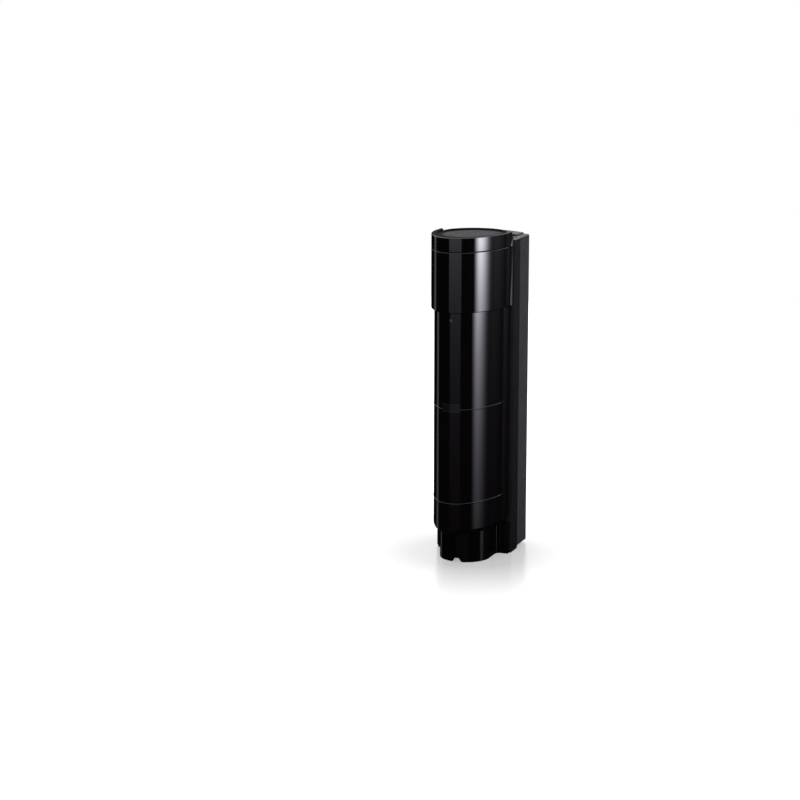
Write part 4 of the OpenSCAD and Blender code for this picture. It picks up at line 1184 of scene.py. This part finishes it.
class BEAM_OT_screws(BeamStep, bpy.types.Operator):
    """Makes the screws of chassis, frames, terminals and cover, each with a cross in its head"""

    def make(self, scene):
        tree = screw_recipe()
        for node, (columns, rows, head, thick, shank, drive) in SCREWS.items():
            low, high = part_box(node)
            depth = high[1] - low[1]
            profile = [(0.0, 0.0)]
            for i in range(HEAD_STEPS + 1):
                t = math.pi / 2 * i / HEAD_STEPS
                profile.append((head * (HEAD_TOP + (1 - HEAD_TOP) * math.sin(t)),
                                thick * HEAD_ROUND * (1 - math.cos(t))))
            profile += [(head, thick), (shank, thick), (shank, depth), (0.0, depth)]
            turned("cross_" + node, tree, profile, node, columns, rows, "screw_steel", {
                "Drive length": CROSS_REACH * head, "Drive width": CROSS_WIDTH * head,
                "Drive depth": drive, "Spin": math.pi / 2,
            })


# Upright light panels round the tower, which its upright walls reflect. Each has the angles over
# which it begins and those over which it ends, from straight ahead of the tower towards its
# right, its brightness, and how fast it fades downwards.
PANELS = (
    ((-130, -127), (-119, -114), 0.25, 2.0),
    ((-28, -22), (32, 42), 0.66, 24.5),
    ((87, 97), (97, 122), 15.0, 27.0),
    ((105, 118), (124, 168), 0.21, 20.0),
    ((150, 158), (176, 179), 0.056, 13.0),
)
PANEL_COLOUR = (0.91, 0.885, 1.0, 1.0)
WHITE = (1.0, 1.0, 1.0, 1.0)
# Dip at which a panel has its stated brightness, and the share of it that it grows to above that
PANEL_DIP = 0.13
PANEL_MOST = 1.2
# Rise that the panels end at, and half the width of that edge
PANEL_RISE = 0.1
PANEL_SOFT = 0.002
# Brightness where there is no panel
DARK = 0.003
# Rise over which the dim back wall begins and its brightness, and the same for the white above it
BACK_WALL = (-0.02, 0.04, 0.06)
STUDIO = (0.15, 0.23, 1.1)
# Width of the camera's sensor in mm, and the distances in metres between which it sees
SENSOR_WIDTH = 36
CLIP_START, CLIP_END = 0.05, 50
# Half the side of the floor in metres, its noise per metre and its darkest tone as a share
FLOOR_REACH = 1.8
FLOOR_NOISE, FLOOR_DARK = 3.0, 0.99
# The light from above: its place, what it points at, power in watts and width
LIGHT_PLACE = (-0.4, 0.3, 2.4)
LIGHT_TARGET = (0.0, 0.0, 0.18)
LIGHT_POWER = 4.0
LIGHT_WIDTH = 1.4


def step_node(tree, value, start, end, falling=False):
    """A smooth step from 0 to 1, or from 1 to 0."""
    feeds = {"From Min": start, "From Max": end, "Value": value}
    feeds.update({"To Min": 1.0, "To Max": 0.0} if falling else {"To Min": 0.0, "To Max": 1.0})
    return add_node(tree, "ShaderNodeMapRange", feeds, interpolation_type="SMOOTHSTEP")


class BEAM_OT_stage(BeamStep, bpy.types.Operator):
    """Makes the floor, the light, the reflected panels and the camera"""

    def make(self, scene):
        self.camera(scene)
        self.floor(scene.beam_stage)
        self.world(scene)
        self.light(scene)
        scene.view_settings.view_transform = "Standard"

    def camera(self, scene):
        """Camera at the photograph's angle."""
        t = scene.beam_stage
        data = bpy.data.cameras.new("camera")
        data.lens = t.focal_length
        data.sensor_width = SENSOR_WIDTH
        data.clip_start, data.clip_end = CLIP_START, CLIP_END
        camera = bpy.data.objects.new("camera", data)
        scene.collection.objects.link(camera)
        camera.location = t.camera_place
        camera.rotation_euler = (math.pi / 2 - t.camera_dip, 0.0, t.camera_turn)
        scene.camera = camera

    def floor(self, t):
        """Pale floor with a faint gloss and a white glow away from the tower."""
        bm = bmesh.new()
        bmesh.ops.create_grid(bm, x_segments=1, y_segments=1, size=FLOOR_REACH)
        mesh = bpy.data.meshes.new("floor")
        bm.to_mesh(mesh)
        bm.free()
        floor = mesh_object("floor", mesh)
        material, shader, place = new_material("floor_white")
        level = spread(noise(place, FLOOR_NOISE), t.floor_white * FLOOR_DARK, t.floor_white)
        away = add_node(material.node_tree, "ShaderNodeVectorMath", {"Vector": place}, "Value",
                        operation="LENGTH")
        feed(shader, {
            "Base Color": tint(level, (0.0, 0.0, 0.0), WHITE[:3]), "Roughness": 0.24,
            "Metallic": t.floor_gloss, "IOR": 1.4, "Emission Color": WHITE,
            "Emission Strength": spread(away, t.floor_glow, 1.0, *t.glow_reach),
        })
        floor.data.materials.append(material)
        floor.visible_glossy = False
        floor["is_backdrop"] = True

    def world(self, scene):
        """White to the camera; the tower sees upright light panels on black, and white above."""
        world = bpy.data.worlds.new("studio")
        world.use_nodes = True
        tree = world.node_tree
        camera = add_node(tree, "ShaderNodeLightPath", {}, "Is Camera Ray")
        strength, above = self.studio(tree)
        plain = math_node(tree, "MAXIMUM", camera, above)
        feed(tree.nodes["Background"], {
            "Strength": add_node(tree, "ShaderNodeMix",
                                 {"Factor": camera, "A": strength, "B": 1.0}, "Result"),
            "Color": add_node(tree, "ShaderNodeMix",
                              {"Factor": plain, "A": PANEL_COLOUR, "B": WHITE}, "Result",
                              data_type="RGBA"),
        })
        scene.world = world

    def studio(self, tree):
        """Brightness of the reflected studio, and where it is above the panels."""
        plus, times = (partial(math_node, tree, kind) for kind in ("ADD", "MULTIPLY"))
        direction = add_node(tree, "ShaderNodeTexCoord", {}, "Generated")
        parts = add_node(tree, "ShaderNodeSeparateXYZ", {"Vector": direction}).node.outputs
        forward = times(parts["Y"], -1.0)
        azimuth = math_node(tree, "ARCTAN2", parts["X"], forward)
        rise = parts["Z"]
        top = step_node(tree, rise, PANEL_RISE - PANEL_SOFT, PANEL_RISE + PANEL_SOFT, True)
        dip = plus(rise, PANEL_DIP)
        total = DARK
        for begin, end, level, fade in PANELS:
            near = step_node(tree, azimuth, *map(math.radians, begin))
            far = step_node(tree, azimuth, *map(math.radians, end), True)
            shape = times(near, times(far, far))
            fall = math_node(tree, "EXPONENT", times(dip, fade))
            fall = times(math_node(tree, "MINIMUM", fall, PANEL_MOST), top)
            shape = times(shape, fall)
            total = plus(times(shape, level), total)
        start, end, dim = BACK_WALL
        above = step_node(tree, rise, start, end)
        low = times(total, step_node(tree, rise, start, end, True))
        wall = times(above, dim)
        start, end, white = STUDIO
        high = times(step_node(tree, rise, start, end), white - dim)
        return plus(plus(low, wall), high), above

    def light(self, scene):
        """Soft light from above."""
        data = bpy.data.lights.new("top_light", "AREA")
        data.energy = LIGHT_POWER
        data.shape = "SQUARE"
        data.size = LIGHT_WIDTH
        made = bpy.data.objects.new("top_light", data)
        scene.collection.objects.link(made)
        made.location = LIGHT_PLACE
        towards = Vector(LIGHT_TARGET) - Vector(LIGHT_PLACE)
        made.rotation_euler = towards.to_track_quat("-Z", "Y").to_euler()


class BEAM_PT_panel(bpy.types.Panel):
    """Lists what makes the tower"""

    bl_label = "Beam Detector"
    bl_idname = "BEAM_PT_panel"
    bl_space_type = "VIEW_3D"
    bl_region_type = "UI"
    bl_category = "Beam Detector"

    def draw(self, context):
        for operator in STEPS:
            self.layout.operator(operator.bl_idname)


SETTINGS = (
    ("beam_shell", BeamShellSizes),
    ("beam_optics", BeamOptics),
    ("beam_colours", BeamFinishColours),
    ("beam_stage", BeamStage),
)
STEPS = (
    BEAM_OT_finishes,
    BEAM_OT_front_cover,
    BEAM_OT_hood,
    BEAM_OT_top_cap,
    BEAM_OT_boot,
    BEAM_OT_case,
    BEAM_OT_fittings,
    BEAM_OT_optics,
    BEAM_OT_screws,
    BEAM_OT_stage,
)


def register():
    """Adds the settings, the operators and the panel."""
    for name, group in SETTINGS:
        bpy.utils.register_class(group)
        setattr(bpy.types.Scene, name, PointerProperty(type=group))
    for operator in STEPS:
        bpy.utils.register_class(operator)
    bpy.utils.register_class(BEAM_PT_panel)


def unregister():
    """Takes them away again."""
    bpy.utils.unregister_class(BEAM_PT_panel)
    for operator in reversed(STEPS):
        bpy.utils.unregister_class(operator)
    for name, group in reversed(SETTINGS):
        delattr(bpy.types.Scene, name)
        bpy.utils.unregister_class(group)


def run_step(operator):
    """Runs an operator by its name."""
    space, name = operator.bl_idname.split(".")
    getattr(getattr(bpy.ops, space), name)()


def main():
    """Makes the whole tower."""
    register()
    for operator in STEPS:
        run_step(operator)
    boxes = {"cad": CAD_BOX, "visual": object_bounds()}
    boxes = {key: [list(corner) for corner in box] for key, box in boxes.items()}


if __name__ == "__main__":
    main()
